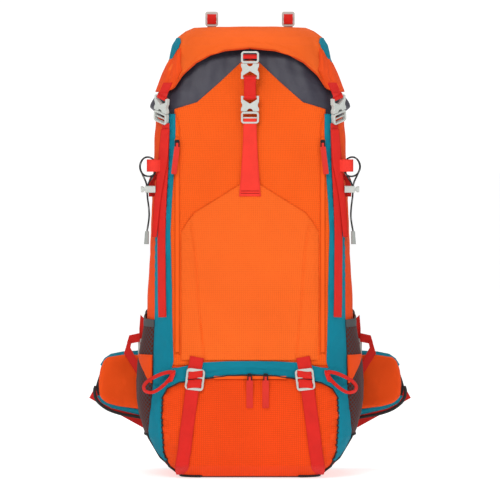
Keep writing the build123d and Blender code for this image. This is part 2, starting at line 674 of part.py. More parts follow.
def zips():
    """Front tracks on each side and the base track, with their sliders and pulls."""
    low = Vector(-ZIP_X, front_y(ZIP_LOW, ZIP_X - 3) - 1.2, ZIP_LOW)
    high = Vector(-ZIP_X, front_y(ZIP_TOP, ZIP_X - 3) - 1.2, ZIP_TOP)
    up = (high - low).normalized()
    out = Vector(1, 0, 0).cross(up)
    with BuildPart() as track:
        with BuildSketch(Plane(origin=low, x_dir=(1, 0, 0), z_dir=up)):
            with Locations((0, -TRACK_T / 2)):
                Rectangle(6, TRACK_T)
        extrude(amount=(high - low).length)
    face = Plane(origin=high + out * TRACK_T - up * 10, x_dir=(1, 0, 0), z_dir=out)
    slider = at_plane(zip_slider(), face)
    pull = at_plane(zip_pull(9, 46, -7), face)
    y = front_y(BASE_ZIP_Z - 3) - 0.9
    with BuildPart() as base_track:
        with Locations((0, y, BASE_ZIP_Z)):
            Box(120, TRACK_T, 5)
    save(group(track.part, mirror(track.part, about=Plane.YZ), base_track.part), "zip_tracks")
    save(slider, "front_left_slider")
    save(pull, "front_left_pull")
    save(mirror(slider, about=Plane.YZ), "front_right_slider")
    save(mirror(pull, about=Plane.YZ), "front_right_pull")
    for word, x in (("left", -0.5), ("right", 26.0)):
        base = Plane(origin=(x, y - TRACK_T / 2, BASE_ZIP_Z), x_dir=(1, 0, 0), z_dir=(0, -1, 0))
        save(at_plane(zip_slider(), base), f"base_{word}_slider")
        save(at_plane(zip_pull(11, 46, 0), base), f"base_{word}_pull")


# ---- side pockets ------------------------------------------------------------------------------------
POCKET_LOW = 74.0
POCKET_TOP = 272.0
POCKET_OUT = 11.0
POCKET_WALL = 2.0
POCKET_FRONT_X = 150.0
POCKET_BACK_Y = 98.0


def side_pocket():
    """Left stretch pocket: wall round the front corner and the side, closed below and at both ends."""
    height = POCKET_TOP - POCKET_LOW
    with BuildPart() as pocket:
        add(bag_loft(-POCKET_OUT, POCKET_LOW, POCKET_TOP))
        with Locations((-300, POCKET_BACK_Y - 150, POCKET_LOW + height / 2)):
            Box(2 * (300 - POCKET_FRONT_X), 300, height, mode=Mode.INTERSECT)
        add(bag_loft(-FIT, BASE_H, POCKET_TOP + 10), mode=Mode.SUBTRACT)
    with BuildPart() as hollow:
        add(bag_loft(POCKET_WALL - POCKET_OUT, BASE_H, POCKET_TOP + 10))
        with Locations((-300, POCKET_BACK_Y - POCKET_WALL - 150, POCKET_LOW + POCKET_WALL + height / 2)):
            Box(2 * (300 - POCKET_FRONT_X - POCKET_WALL), 300, height, mode=Mode.INTERSECT)
    return pocket.part - hollow.part


# ---- harness -----------------------------------------------------------------------------------------
HARNESS_Y = BACK_Y + BACK_T + 0.5  # on the padded back
PAD_W = 60.0
PAD_X = 72.0
STERNUM_Z = 480.0


def shoulder_strap():
    """Left shoulder strap, its sewn webbing below and the load lifter above."""
    run = [(HARNESS_Y + 10.2, 552), (HARNESS_Y + 11.4, 604), (144, 631), (163, 643), (184, 634), (197, 606),
           (201, 540), (198, 460), (184, 380)]
    with BuildPart() as pad:
        with BuildSketch(Plane.YZ.offset(-PAD_X)):
            with BuildLine():
                Polyline(*ribbon(run, 10), close=True)
            make_face()
        extrude(amount=PAD_W / 2, both=True)
        fillet(pad.edges().filter_by(Axis.X), 2)
    lower = strap(Plane.YZ.offset(-PAD_X), [(181, 392), (160, 300), (HARNESS_Y + 1, 232), (HARNESS_Y, 216)], 20)
    lower -= pad.part
    lower = max(lower.solids(), key=lambda piece: piece.volume)
    lifter = strap(Plane.YZ.offset(-PAD_X), [(HARNESS_Y, 684), (HARNESS_Y + 1, 676), (158, 646)], 20)
    lifter -= pad.part
    lifter = max(lifter.solids(), key=lambda piece: piece.volume)
    return pad.part, group(lower, lifter)


def haul_handle():
    """Webbing loop sewn to the top of the padded back."""
    points = [(-44, HARNESS_Y), (-32, HARNESS_Y + 1), (-22, HARNESS_Y + 24), (22, HARNESS_Y + 24),
              (32, HARNESS_Y + 1), (44, HARNESS_Y)]
    with BuildPart() as handle:
        with BuildSketch(Plane.XY.offset(656)):
            with BuildLine():
                Polyline(*ribbon(points, STRAP_T + 0.6), close=True)
            make_face()
        extrude(amount=22)
    return handle.part


STERNUM_PIN = (-PAD_X + PAD_W / 2 + 7, 206.0)  # vertical pin of the left half of the chest strap


def sternum_bar():
    """Left pin for the chest strap, on two lugs on the shoulder strap's inner edge."""
    x, y = STERNUM_PIN
    with BuildPart() as bar:
        with Locations((x, y, STERNUM_Z)):
            Cylinder(2, 27)
        with Locations((x - 2.3, y - 5, STERNUM_Z - 12.5), (x - 2.3, y - 5, STERNUM_Z + 12.5)):
            Box(8.8, 13, 2)
    return bar.part


def sternum_half(is_socket):
    """Left half of the chest strap: webbing from its pin towards the middle, with one half of the buckle."""
    x, y = STERNUM_PIN
    bar_v = SOCKET_BAR_V if is_socket else FRAME_BAR_V
    mouth = -3 if is_socket else -10
    out = (0, -1, 0) if is_socket else (0, 1, 0)
    plane = Plane(origin=(mouth, y - 2.2, STERNUM_Z), x_dir=(0, 0, 1), z_dir=out)
    bar_x = mouth - abs(bar_v)
    bar_y = y - 2.2 + (BAR_DEEP if is_socket else 0)
    inner_r = 2 + PIN_PLAY
    with BuildPart() as web:
        with BuildSketch(Plane.XY.offset(STERNUM_Z - 9)):
            with Locations((x, y)):
                Circle(inner_r + WRAP_T)
            with Locations(((x + bar_x + 2) / 2, y + inner_r + WRAP_T / 2)):
                Rectangle(bar_x + 2 - x, WRAP_T)
            with Locations((x, y)):
                Circle(inner_r, mode=Mode.SUBTRACT)
            with Locations((bar_x, (bar_y + SLEEVE / 2 + y + inner_r) / 2)):
                Rectangle(3, y + inner_r - bar_y - SLEEVE / 2 + 0.6)
        extrude(amount=18)
    turn = Pos(bar_x, bar_y, STERNUM_Z) * Rot(0, 90, 0) * bar_wrap(18)
    return group(web.part + turn, at_plane(buckle_socket() if is_socket else buckle_frame(), plane))


# ---- hip belt ----------------------------------------------------------------------------------------
WING_PIVOT_Y = WING_Y + WING_T - 1
BELT_W = 38.0


def lumbar_pad():
    with BuildPart() as pad:
        with BuildSketch(Plane.XZ.offset(-HARNESS_Y)):
            with Locations((0, 146)):
                RectangleRounded(194.4, 120, 20)
        extrude(amount=-19)
        fillet(pad.faces().sort_by(Axis.Y)[-1].edges(), 5)
    return pad.part


def hip_wing():
    """Left wing and its zipped pocket."""
    with BuildPart() as wing:
        with BuildSketch(Plane.XZ.offset(-WING_Y)):
            with BuildLine():
                Polyline(
                    (-98, 96), (-98, 196), (-190, 196), (-240, 190), (-262, 166), (-266, 136), (-244, 108),
                    (-190, 96), close=True,
                )
            make_face()
        extrude(amount=-WING_T)
        fillet(wing.edges().filter_by(Axis.Y).group_by(Axis.X)[0], 6)
    with BuildPart() as pocket:
        with BuildSketch(Plane.XZ.offset(-WING_Y + 0.2)):
            with BuildLine():
                Polyline((-186, 102), (-186, 194), (-246, 190), (-259, 174), (-259, 126), (-250, 108), close=True)
            make_face()
        with BuildSketch(Plane.XZ.offset(-WING_Y + 22)):
            with BuildLine():
                Polyline((-192, 112), (-192, 184), (-240, 181), (-250, 168), (-250, 132), (-243, 117), close=True)
            make_face()
        loft()
    return wing.part, pocket.part


BELT_TILT = 29.0  # degrees, the belt's webbing hangs down towards the middle
BELT_SCALE = 1.6  # hip buckle, against the small ones


def hip_webbing(is_socket):
    """Left belt webbing with its fold past the wing's tip, the stabiliser web, and a buckle half."""
    y = WING_Y + WING_T + 0.5
    lean = radians(BELT_TILT)
    inner = Vector(-146, y, 70)
    with BuildPart() as web:
        with BuildSketch(Plane.XZ.offset(-y)):
            with Locations(Location((-206, 70 + 60 * tan(lean)), -BELT_TILT)):
                Rectangle(138, BELT_W)
        extrude(amount=-STRAP_T)
    bar = 10.4 if not is_socket else 24.3
    along = Vector(cos(lean), 0, -sin(lean)) * (1 if not is_socket else -1)
    meet = inner + Vector(cos(lean), 0, -sin(lean)) * (bar * BELT_SCALE) + Vector(0, 7.6, 0)
    plane = Plane(origin=meet, x_dir=along.cross(Vector(0, -1, 0)), z_dir=(0, -1, 0))
    half = (buckle_socket() if is_socket else buckle_frame()).scale(BELT_SCALE)
    depth = -BAR_DEEP if is_socket else 0
    v = (SOCKET_BAR_V if is_socket else FRAME_BAR_V) * BELT_SCALE
    sleeve = bar_wrap(22).scale(BELT_SCALE)
    joined = Pos(0, v, depth * BELT_SCALE) * sleeve + Pos(0, v, 4.6) * Box(35, 7.6, 5)
    joined += at_plane(web.part, Plane.XY).locate(plane.location.inverse())
    return plane.location * joined, at_plane(half, plane)


def stabiliser_web():
    """Left stabiliser web on the wing: up across the pocket, over, and back to the bag's ladderlock."""
    with BuildPart() as web:
        with BuildSketch(Plane.XZ.offset(-WING_Y + 22.4)):
            with BuildLine():
                Polyline((-190, 158), (-190, 181), (-204, 208), (-202, 218), (-209, 218), (-215, 198), close=True)
            make_face()
        extrude(amount=STRAP_T)
        with BuildSketch(Plane.XZ.offset(-WING_Y + 20.4)):
            with BuildLine():
                Polyline((-210, 216), (-206, 229), (-188, 233), (-188, 218), (-203, 215), close=True)
            make_face()
        extrude(amount=STRAP_T)
        with Locations((-206.5, WING_Y - 22.2, 217)):
            Box(6, 3.6, STRAP_T)
    return web.part


def stabiliser_anchor():
    """Left stabiliser's tail on the bag's rear edge, and its ladderlock in front of it."""
    with BuildPart() as tail:
        with BuildSketch(Plane.XZ.offset(-WING_Y + 13.8)):
            with BuildLine():
                Polyline((-188, 184), (-174.6, 184), (-174.2, 262), (-179, 256), (-187, 264), (-189, 240), close=True)
            make_face()
        extrude(amount=STRAP_T)
    with BuildPart() as lock:
        with BuildSketch(Plane.XZ.offset(-WING_Y + 16)):
            with Locations((-183, 205)):
                RectangleRounded(16, 36, 5)
            with Locations((-183, 213), (-183, 197)):
                RectangleRounded(9, 9, 1, mode=Mode.SUBTRACT)
        extrude(amount=4)
    return tail.part, lock.part


# ---- hood's rear straps --------------------------------------------------------------------------------
def lid_rear():
    """Left rear ladderlock of the hood and its webbing, standing at the hood's rear edge."""
    with BuildPart() as lock:
        with BuildSketch(Plane.XZ.offset(-95)):
            with Locations((-65, LID_TOP + 16)):
                RectangleRounded(22, 25, 4)
            with Locations((-65, LID_TOP + 21), (-65, LID_TOP + 11)):
                RectangleRounded(16, 6, 1, mode=Mode.SUBTRACT)
        extrude(amount=4)
    with BuildPart() as web:
        with Locations((-65, 96.4, LID_TOP + 12.2)):
            Box(15, STRAP_T, 24)
    return lock.part, web.part


def lid_zip():
    with BuildPart() as tape:
        with Locations((0, LID_BACK - 2, ZIP_SLOT_Z)):
            Box(175, 1.5, 7.2)
    return tape.part


# ---- build ---------------------------------------------------------------------------------------------
def flip(part):
    return mirror(part, about=Plane.YZ)


bag_walls()
divider()
back_and_frame()
lid()
front_frame, front_web = front_strap()
frame, web, socket, hem = side_strap()
rear_lock, rear_web = lid_rear()
save(both(frame), "side_frames")
save(web, "left_side_strap")
save(flip(web), "right_side_strap")
save(group(front_frame, both(socket), both(rear_lock)), "lid_buckles")
save(group(front_web, both(hem), both(rear_web)), "lid_webbing")
save(lid_zip(), "lid_zip")
upper, lower, base_lock = base_strap()
save(both(group(upper, lower)), "base_straps")
anchor_tail, anchor_lock = stabiliser_anchor()
save(both(anchor_tail), "stabiliser_tails")
save(both(group(base_lock, anchor_lock)), "ladderlocks")
tab, lock_web = pole_tab()
save(both(group(gear_loop(), tab, lock_web)), "gear_loops")
save(both(cord_end()), "cord_ends")
body, button, spring = cord_lock()
elastic = cord(CORD_ROUTE)
wing, wing_pocket = hip_wing()
pad, harness = shoulder_strap()
pocket = side_pocket()
for word, side in (("left", lambda part: part), ("right", flip)):
    save(side(body), f"{word}_cord_lock")
    save(side(button), f"{word}_lock_button")
    save(side(spring), f"{word}_lock_spring")
    save(side(elastic), f"{word}_pole_cord")
    save(side(pocket), f"{word}_side_pocket")
    save(side(pad), f"{word}_shoulder_strap")
    save(side(wing), f"{word}_hip_wing")
    save(side(wing_pocket), f"{word}_hip_pocket")
    web, half = hip_webbing(word == "right")
    save(side(group(web, stabiliser_web())), f"{word}_hip_webbing")
    save(side(half), f"{word}_hip_buckle")
    save(side(sternum_half(word == "right")), f"{word}_sternum_strap")
save(group(both(harness), haul_handle()), "harness_webbing")
save(both(sternum_bar()), "sternum_bars")
save(lumbar_pad(), "lumbar_pad")
zips()
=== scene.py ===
"""Finishes for a hiking backpack: fabric skins, webbing, cords, padding and trim over its fixed frame.

Row frame: +Z up, -Y is the outer front. Lengths inside the surface functions are millimetres and
become metres when a mesh is written. "left" is the -X side.
"""

import json
import math
import sys

import bpy
import numpy as np
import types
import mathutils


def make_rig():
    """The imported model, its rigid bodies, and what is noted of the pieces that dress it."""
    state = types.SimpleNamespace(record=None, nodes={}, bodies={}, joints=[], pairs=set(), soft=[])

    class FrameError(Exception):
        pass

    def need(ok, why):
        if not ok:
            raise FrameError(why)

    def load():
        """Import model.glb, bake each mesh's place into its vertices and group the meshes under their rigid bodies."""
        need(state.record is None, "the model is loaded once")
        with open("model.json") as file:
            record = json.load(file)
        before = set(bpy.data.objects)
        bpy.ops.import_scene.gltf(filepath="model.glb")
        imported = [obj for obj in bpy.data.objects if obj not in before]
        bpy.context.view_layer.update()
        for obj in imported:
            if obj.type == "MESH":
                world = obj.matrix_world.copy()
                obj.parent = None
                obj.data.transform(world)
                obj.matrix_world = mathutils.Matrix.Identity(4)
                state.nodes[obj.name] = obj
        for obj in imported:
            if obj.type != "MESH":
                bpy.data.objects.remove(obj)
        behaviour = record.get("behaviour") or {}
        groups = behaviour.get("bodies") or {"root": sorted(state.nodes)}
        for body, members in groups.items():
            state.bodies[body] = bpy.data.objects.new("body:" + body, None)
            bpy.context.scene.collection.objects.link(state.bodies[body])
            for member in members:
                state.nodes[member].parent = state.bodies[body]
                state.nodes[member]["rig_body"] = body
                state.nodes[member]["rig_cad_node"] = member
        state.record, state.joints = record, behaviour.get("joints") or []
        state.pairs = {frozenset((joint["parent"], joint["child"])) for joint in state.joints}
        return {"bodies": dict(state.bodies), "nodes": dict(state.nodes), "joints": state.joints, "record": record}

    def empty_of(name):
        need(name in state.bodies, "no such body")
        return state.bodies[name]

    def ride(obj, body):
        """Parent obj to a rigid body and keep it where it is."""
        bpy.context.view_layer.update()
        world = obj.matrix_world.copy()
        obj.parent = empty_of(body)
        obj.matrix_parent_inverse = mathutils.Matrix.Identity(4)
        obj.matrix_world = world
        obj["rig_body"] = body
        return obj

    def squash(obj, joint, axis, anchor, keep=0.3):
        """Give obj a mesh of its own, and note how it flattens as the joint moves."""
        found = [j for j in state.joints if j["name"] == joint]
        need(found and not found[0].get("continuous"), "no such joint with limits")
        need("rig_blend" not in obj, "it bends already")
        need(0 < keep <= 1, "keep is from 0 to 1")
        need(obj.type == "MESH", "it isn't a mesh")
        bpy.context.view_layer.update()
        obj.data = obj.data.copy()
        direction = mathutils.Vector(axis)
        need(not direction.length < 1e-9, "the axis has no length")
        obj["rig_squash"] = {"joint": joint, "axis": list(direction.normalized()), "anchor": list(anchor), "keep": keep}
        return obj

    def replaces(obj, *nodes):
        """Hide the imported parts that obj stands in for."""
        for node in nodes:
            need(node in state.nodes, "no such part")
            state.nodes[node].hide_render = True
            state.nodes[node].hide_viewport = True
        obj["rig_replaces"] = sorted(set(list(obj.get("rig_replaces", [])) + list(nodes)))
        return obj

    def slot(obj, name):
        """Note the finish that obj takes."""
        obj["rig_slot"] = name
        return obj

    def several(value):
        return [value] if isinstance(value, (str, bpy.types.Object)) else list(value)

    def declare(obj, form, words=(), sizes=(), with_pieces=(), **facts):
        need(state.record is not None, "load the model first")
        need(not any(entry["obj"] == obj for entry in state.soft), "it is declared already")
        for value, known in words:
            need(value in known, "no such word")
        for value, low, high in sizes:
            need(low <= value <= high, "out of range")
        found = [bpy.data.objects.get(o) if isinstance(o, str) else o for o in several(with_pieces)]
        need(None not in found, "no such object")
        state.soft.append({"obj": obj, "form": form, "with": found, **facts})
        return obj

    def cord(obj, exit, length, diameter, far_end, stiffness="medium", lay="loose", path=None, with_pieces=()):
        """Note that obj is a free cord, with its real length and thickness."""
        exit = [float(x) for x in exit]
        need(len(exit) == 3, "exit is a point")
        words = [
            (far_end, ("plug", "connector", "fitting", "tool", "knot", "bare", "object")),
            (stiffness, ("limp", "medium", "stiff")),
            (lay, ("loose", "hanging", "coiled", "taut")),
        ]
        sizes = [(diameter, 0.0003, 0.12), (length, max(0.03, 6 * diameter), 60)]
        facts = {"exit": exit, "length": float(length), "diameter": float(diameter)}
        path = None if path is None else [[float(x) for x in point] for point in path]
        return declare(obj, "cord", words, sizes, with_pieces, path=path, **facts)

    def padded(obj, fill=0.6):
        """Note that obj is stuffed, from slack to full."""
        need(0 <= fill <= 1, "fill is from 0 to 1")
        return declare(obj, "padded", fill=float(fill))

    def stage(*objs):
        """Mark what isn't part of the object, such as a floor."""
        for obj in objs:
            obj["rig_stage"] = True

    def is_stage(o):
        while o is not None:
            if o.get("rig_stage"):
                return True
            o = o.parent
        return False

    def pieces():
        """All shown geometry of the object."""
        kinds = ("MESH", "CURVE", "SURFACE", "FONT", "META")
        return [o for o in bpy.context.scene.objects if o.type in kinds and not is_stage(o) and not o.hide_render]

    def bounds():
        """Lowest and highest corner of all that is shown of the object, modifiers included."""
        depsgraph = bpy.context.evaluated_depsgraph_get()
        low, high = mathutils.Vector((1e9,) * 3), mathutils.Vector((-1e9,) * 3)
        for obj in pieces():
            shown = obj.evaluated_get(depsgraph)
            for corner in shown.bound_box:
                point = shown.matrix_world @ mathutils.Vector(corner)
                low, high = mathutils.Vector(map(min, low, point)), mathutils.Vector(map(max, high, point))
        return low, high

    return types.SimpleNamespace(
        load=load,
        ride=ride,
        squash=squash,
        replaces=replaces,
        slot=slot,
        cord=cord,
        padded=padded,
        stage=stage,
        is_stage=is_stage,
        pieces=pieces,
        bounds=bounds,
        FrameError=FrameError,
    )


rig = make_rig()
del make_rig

bl_info = {
    "name": "Trekking pack builder",
    "version": (1, 0, 0),
    "blender": (4, 5, 0),
    "location": "View3D > Sidebar > Trekking pack",
    "description": "Builds the skins, straps and trim of a trekking pack on its frame",
    "category": "Add Mesh",
}

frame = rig.load()
CAD_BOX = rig.bounds()
MM = 0.001

# plan sections of the bag: height, half width, front y, front corner radius
BAG = np.array([
    (0, 112, -88, 30), (22, 142, -116, 45), (70, 170, -132, 55), (130, 176, -136, 55), (205, 176, -130, 55),
    (560, 160, -122, 55), (625, 156, -116, 55), (645, 151, -112, 55), (700, 124, -94, 48),
], dtype=float)
HOOD = np.array([
    (600, 166, -130, 62), (640, 159, -124, 60), (676, 145, -114, 56), (700, 133, -106, 52),
    (722, 128, -100, 50), (737, 120, -90, 46), (746, 108, -77, 41), (752, 94, -64, 34),
], dtype=float)
BAG_BACK = 106.0
HOOD_BACK = 105.5


# ---- settings ---------------------------------------------------------------------------------
def rgb(red, green, blue):
    """Linear colour from the 0 to 255 values of a paint chart."""
    def lin(v):
        v /= 255
        return v / 12.92 if v <= 0.04045 else ((v + 0.055) / 1.055) ** 2.4
    return (lin(red), lin(green), lin(blue))


def colour(name, description, red, green, blue):
    return bpy.props.FloatVectorProperty(
        name=name, description=description, subtype="COLOR", size=3, min=0, max=1, default=rgb(red, green, blue),
    )


class PackColours(bpy.types.PropertyGroup):
    front: colour("Front", "Ripstop of the front panel", 243, 92, 20)
    pocket: colour("Pocket", "Ripstop of the big front pocket", 248, 102, 30)
    base: colour("Base", "Ripstop of the base compartment", 236, 72, 12)
    side: colour("Side", "Plain cloth of the sides", 238, 78, 22)
    hood: colour("Hood", "Cloth of the hood", 242, 100, 32)
    hip: colour("Hip pocket", "Cloth of the hip pockets", 255, 80, 18)
    teal: colour("Teal", "Reinforcing panels", 10, 128, 150)
    charcoal: colour("Collar", "Coated cloth of the collar", 56, 54, 66)
    piping: colour("Piping", "Piping and binding", 52, 50, 50)
    webbing: colour("Webbing", "Red webbing", 208, 32, 24)
    tab: colour("Tab", "Lighter red tape of the pulls and the front tab", 230, 52, 40)
    plastic: colour("Buckles", "Pale moulded plastic", 184, 188, 183)
    cord: colour("Cord", "Black elastic cord", 26, 26, 28)
    mesh: colour("Mesh", "Stretch mesh of the side pockets", 58, 57, 61)
    foam: colour("Padding", "Cloth over the harness foam", 38, 38, 42)


class PackSizes(bpy.types.PropertyGroup):
    ripstop: bpy.props.FloatProperty(
        name="Ripstop square", description="Spacing of the ripstop's reinforcing threads", default=0.0035,
        min=0.001, max=0.02, unit="LENGTH",
    )
    skin: bpy.props.FloatProperty(
        name="Cloth", description="Thickness of the outer cloth", default=0.0012, min=0.0003, max=0.004,
        unit="LENGTH",
    )
    webbing: bpy.props.FloatProperty(
        name="Webbing", description="Thickness of the webbing", default=0.0016, min=0.0005, max=0.004,
        unit="LENGTH",
    )
    cord: bpy.props.FloatProperty(
        name="Elastic", description="Diameter of the elastic cord", default=0.003, min=0.001, max=0.006,
        unit="LENGTH",
    )
    piping: bpy.props.FloatProperty(
        name="Piping", description="Radius of the piping", default=0.0022, min=0.0005, max=0.006, unit="LENGTH",
    )


def colours():
    return bpy.context.scene.pack_colours


def sizes():
    return bpy.context.scene.pack_sizes


# ---- surfaces ---------------------------------------------------------------------------------
def plan(t, half, front, radius, back, rear=10.0):
    """A rounded rectangle walked from its front's middle (t = 0) to its rear's middle (t = 1, or -1 on the
    left): straight, front corner arc, straight side, rear corner arc, straight. Gives x, y and the normal."""
    side = np.sign(t)
    lengths = [half - radius, radius * math.pi / 2, back - rear - front - radius, rear * math.pi / 2, half - rear]
    ends = np.cumsum(np.stack([np.broadcast_to(v, np.broadcast_shapes(np.shape(t), np.shape(half))) for v in lengths]), axis=0)
    s = np.abs(t) * ends[-1]
    a = (s - ends[0]) / radius
    b = (s - ends[2]) / rear
    cases = [s <= ends[0], s <= ends[1], s <= ends[2], s <= ends[3]]
    x = np.select(cases, [
        s, half - radius + radius * np.sin(a), half + 0 * s, half - rear + rear * np.cos(b),
    ], half - rear - (s - ends[3]))
    y = np.select(cases, [
        front + 0 * s, front + radius - radius * np.cos(a), front + radius + (s - ends[1]),
        back - rear + rear * np.sin(b),
    ], back + 0 * s)
    nx = np.select(cases, [0 * s, np.sin(a), 1 + 0 * s, np.cos(b)], 0 * s)
    ny = np.select(cases, [-1 + 0 * s, -np.cos(a), 0 * s, np.sin(b)], 1 + 0 * s)
    return np.where(side < 0, -x, x), y, np.where(side < 0, -nx, nx), ny


def section(table, z):
    """Half width, front y and corner radius at each height, straight between the table's rows."""
    return [np.interp(z, table[:, 0], table[:, i]) for i in (1, 2, 3)]


def around(table, back, x, z):
    """How far round the plan section a sideways place x on the front or the front corner lies, -1 to 1."""
    half, front, radius = section(table, z)
    past = np.clip((np.abs(x) - (half - radius)) / radius, 0, 0.99)
    s = np.where(np.abs(x) <= half - radius, np.abs(x), half - radius + radius * np.arcsin(past))
    return np.sign(x) * s / whole(half, front, radius, back)


def whole(half, front, radius, back, rear=10.0):
    """Half the girth of a plan section, from the front's middle to the rear's middle."""
    return (half - radius) + radius * math.pi / 2 + (back - rear - front - radius) + rear * math.pi / 2 + half - rear


def aside(table, back, y, z):
    """How far round the plan section a place y on the flat of the right side lies, 0 to 1."""
    half, front, radius = section(table, z)
    return (half - radius + radius * math.pi / 2 + y - front - radius) / whole(half, front, radius, back)


def wrap(table, back, t, z, lift=0.0):
    """Point of the surface at t round the section and height z, moved out by lift."""
    half, front, radius = section(table, z)
    x, y, nx, ny = plan(t, half, front, radius, back)
    return np.stack([x + nx * lift, y + ny * lift, z + 0 * x], axis=-1)


def on_bag(x, z, lift=0.0):
    """Points of the bag's front or front corners at places x, z, moved out by lift."""
    return wrap(BAG, BAG_BACK, around(BAG, BAG_BACK, x, z), z, lift)


def on_hood(x, z, lift=0.0):
    """Points of the hood's front or front corners at places x, z, moved out by lift."""
    return wrap(HOOD, HOOD_BACK, around(HOOD, HOOD_BACK, x, z), z, lift)


def mirrored(points):
    """The same grid on the other side of the middle plane, still walked left to right."""
    return points[:, ::-1] * np.array([-1.0, 1.0, 1.0])


def line(value, table):
    """Value read off a table of (place, value) pairs."""
    table = np.asarray(table, dtype=float)
    order = np.argsort(table[:, 0])
    return np.interp(value, table[order, 0], table[order, 1])


def ripple(a, b, *waves):
    """Sum of slanting sine waves over two parameters: each wave is (height, along a, along b, phase)."""
    total = 0.0
    for height, along_a, along_b, phase in waves:
        total = total + height * np.sin(a * along_a + b * along_b + phase)
    return total


def crease(value, centre, width, depth):
    """A soft groove or ridge: depth at the centre, fading as a bell over width."""
    return depth * np.exp(-(((value - centre) / width) ** 2))


def step(value, start, end):
    """Smooth rise from 0 at start to 1 at end."""
    u = np.clip((value - start) / (end - start), 0, 1)
    return u * u * (3 - 2 * u)


def write(name, points, faces, uv, body, finish, thick=0.0, level=0, stands_for=(), slot=None, offset=-1.0):
    """Makes the object: points in millimetres, faces as index rows, uv in metres per point."""
    data = bpy.data.meshes.new(name)
    data.from_pydata((np.asarray(points) * MM).tolist(), [], np.asarray(faces).tolist())
    layer = data.uv_layers.new(name="UVMap")
    corners = np.empty(len(data.loops), dtype=np.int32)
    data.loops.foreach_get("vertex_index", corners)
    layer.data.foreach_set("uv", np.asarray(uv, dtype=np.float32)[corners].ravel())
    data.polygons.foreach_set("use_smooth", [True] * len(data.polygons))
    piece = bpy.data.objects.new(name, data)
    bpy.context.scene.collection.objects.link(piece)
    data.materials.append(finish)
    if thick:
        wall = piece.modifiers.new("Wall", "SOLIDIFY")
        wall.thickness = thick
        wall.offset = offset
    if level:
        smooth = piece.modifiers.new("Smooth", "SUBSURF")
        smooth.levels = smooth.render_levels = level
    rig.ride(piece, body)
    if stands_for:
        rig.replaces(piece, *stands_for)
    if slot:
        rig.slot(piece, slot)
    return piece


def grid_faces(rows, columns, closed=False):
    """Quads of a rows by columns grid, counter-clockwise as the columns run right and the rows run up."""
    i, j = np.meshgrid(np.arange(rows - 1), np.arange(columns if closed else columns - 1), indexing="ij")
    nxt = (j + 1) % columns
    quads = np.stack([i * columns + j, i * columns + nxt, (i + 1) * columns + nxt, (i + 1) * columns + j], axis=-1)
    return quads.reshape(-1, 4)


def flat_uv(points):
    """Distance along each grid line, in metres, as UV: u along the columns, v up the rows."""
    u = np.zeros(points.shape[:2])
    v = np.zeros(points.shape[:2])
    u[:, 1:] = np.cumsum(np.linalg.norm(np.diff(points, axis=1), axis=-1), axis=1)
    v[1:, :] = np.cumsum(np.linalg.norm(np.diff(points, axis=0), axis=-1), axis=0)
    u -= u.mean(axis=1, keepdims=True)
    return np.stack([u, v], axis=-1).reshape(-1, 2) * MM


def skin(name, points, body, finish, thick=None, **more):
    """A cloth panel from a grid of points (rows, columns, 3) whose columns run left to right outside."""
    rows, columns = points.shape[:2]
    thick = sizes().skin if thick is None else thick
    return write(name, points.reshape(-1, 3), grid_faces(rows, columns), flat_uv(points), body, finish, thick, **more)


def smooth_path(points, count):
    """Points along a Catmull-Rom curve through the given ones, evenly spaced along it."""
    p = np.asarray(points, dtype=float)
    p = np.vstack([2 * p[0] - p[1], p, 2 * p[-1] - p[-2]])
    n = len(p) - 3
    t = np.linspace(0, n, 400)
    i = np.minimum(t.astype(int), n - 1)
    f = (t - i)[:, None]
    a, b, c, d = p[i], p[i + 1], p[i + 2], p[i + 3]
    curve = 0.5 * (2 * b + (c - a) * f + (2 * a - 5 * b + 4 * c - d) * f ** 2 + (3 * b - a - 3 * c + d) * f ** 3)
    run = np.concatenate([[0], np.cumsum(np.linalg.norm(np.diff(curve, axis=0), axis=1))])
    even = np.linspace(0, run[-1], count)
    return np.stack([np.interp(even, run, curve[:, k]) for k in range(3)], axis=1)


def band(name, path, across, width, body, finish, thick=None, count=60, raw=False, **more):
    """Webbing: a slightly crowned strip of a width, carried along a path. across gives the direction of its
    width at each end, or at each point; its outer face is on the side of across x direction of travel."""
    spine = np.asarray(path, dtype=float) if raw else smooth_path(path, count)
    n = len(spine)
    across = np.asarray(across, dtype=float)
    if across.ndim == 1:
        across = across[None, :]
    stops = np.linspace(0, 1, len(across))
    side = np.stack([np.interp(np.linspace(0, 1, n), stops, across[:, k]) for k in range(3)], axis=1)
    along = np.gradient(spine, axis=0)
    along /= np.linalg.norm(along, axis=1, keepdims=True) + 1e-9
    side -= along * np.sum(side * along, axis=1, keepdims=True)
    side /= np.linalg.norm(side, axis=1, keepdims=True)
    width = np.broadcast_to(np.asarray(width, dtype=float), (n,)) if np.ndim(width) == 0 else np.interp(
        np.linspace(0, 1, n), np.linspace(0, 1, len(width)), width)
    u = np.linspace(-0.5, 0.5, 9)[None, :, None]
    out = np.cross(side, along)
    points = spine[:, None] + side[:, None] * (u * width[:, None, None]) + out[:, None] * (0.3 * (0.25 - u * u))
    run = np.concatenate([[0], np.cumsum(np.linalg.norm(np.diff(spine, axis=0), axis=1))])
    uv = np.stack(np.broadcast_arrays(u[..., 0] * width[:, None], run[:, None]), axis=-1).reshape(-1, 2) * MM
    thick = sizes().webbing if thick is None else thick
    return write(name, points.reshape(-1, 3), grid_faces(n, 9), uv, body, finish, thick, offset=0.0, **more)


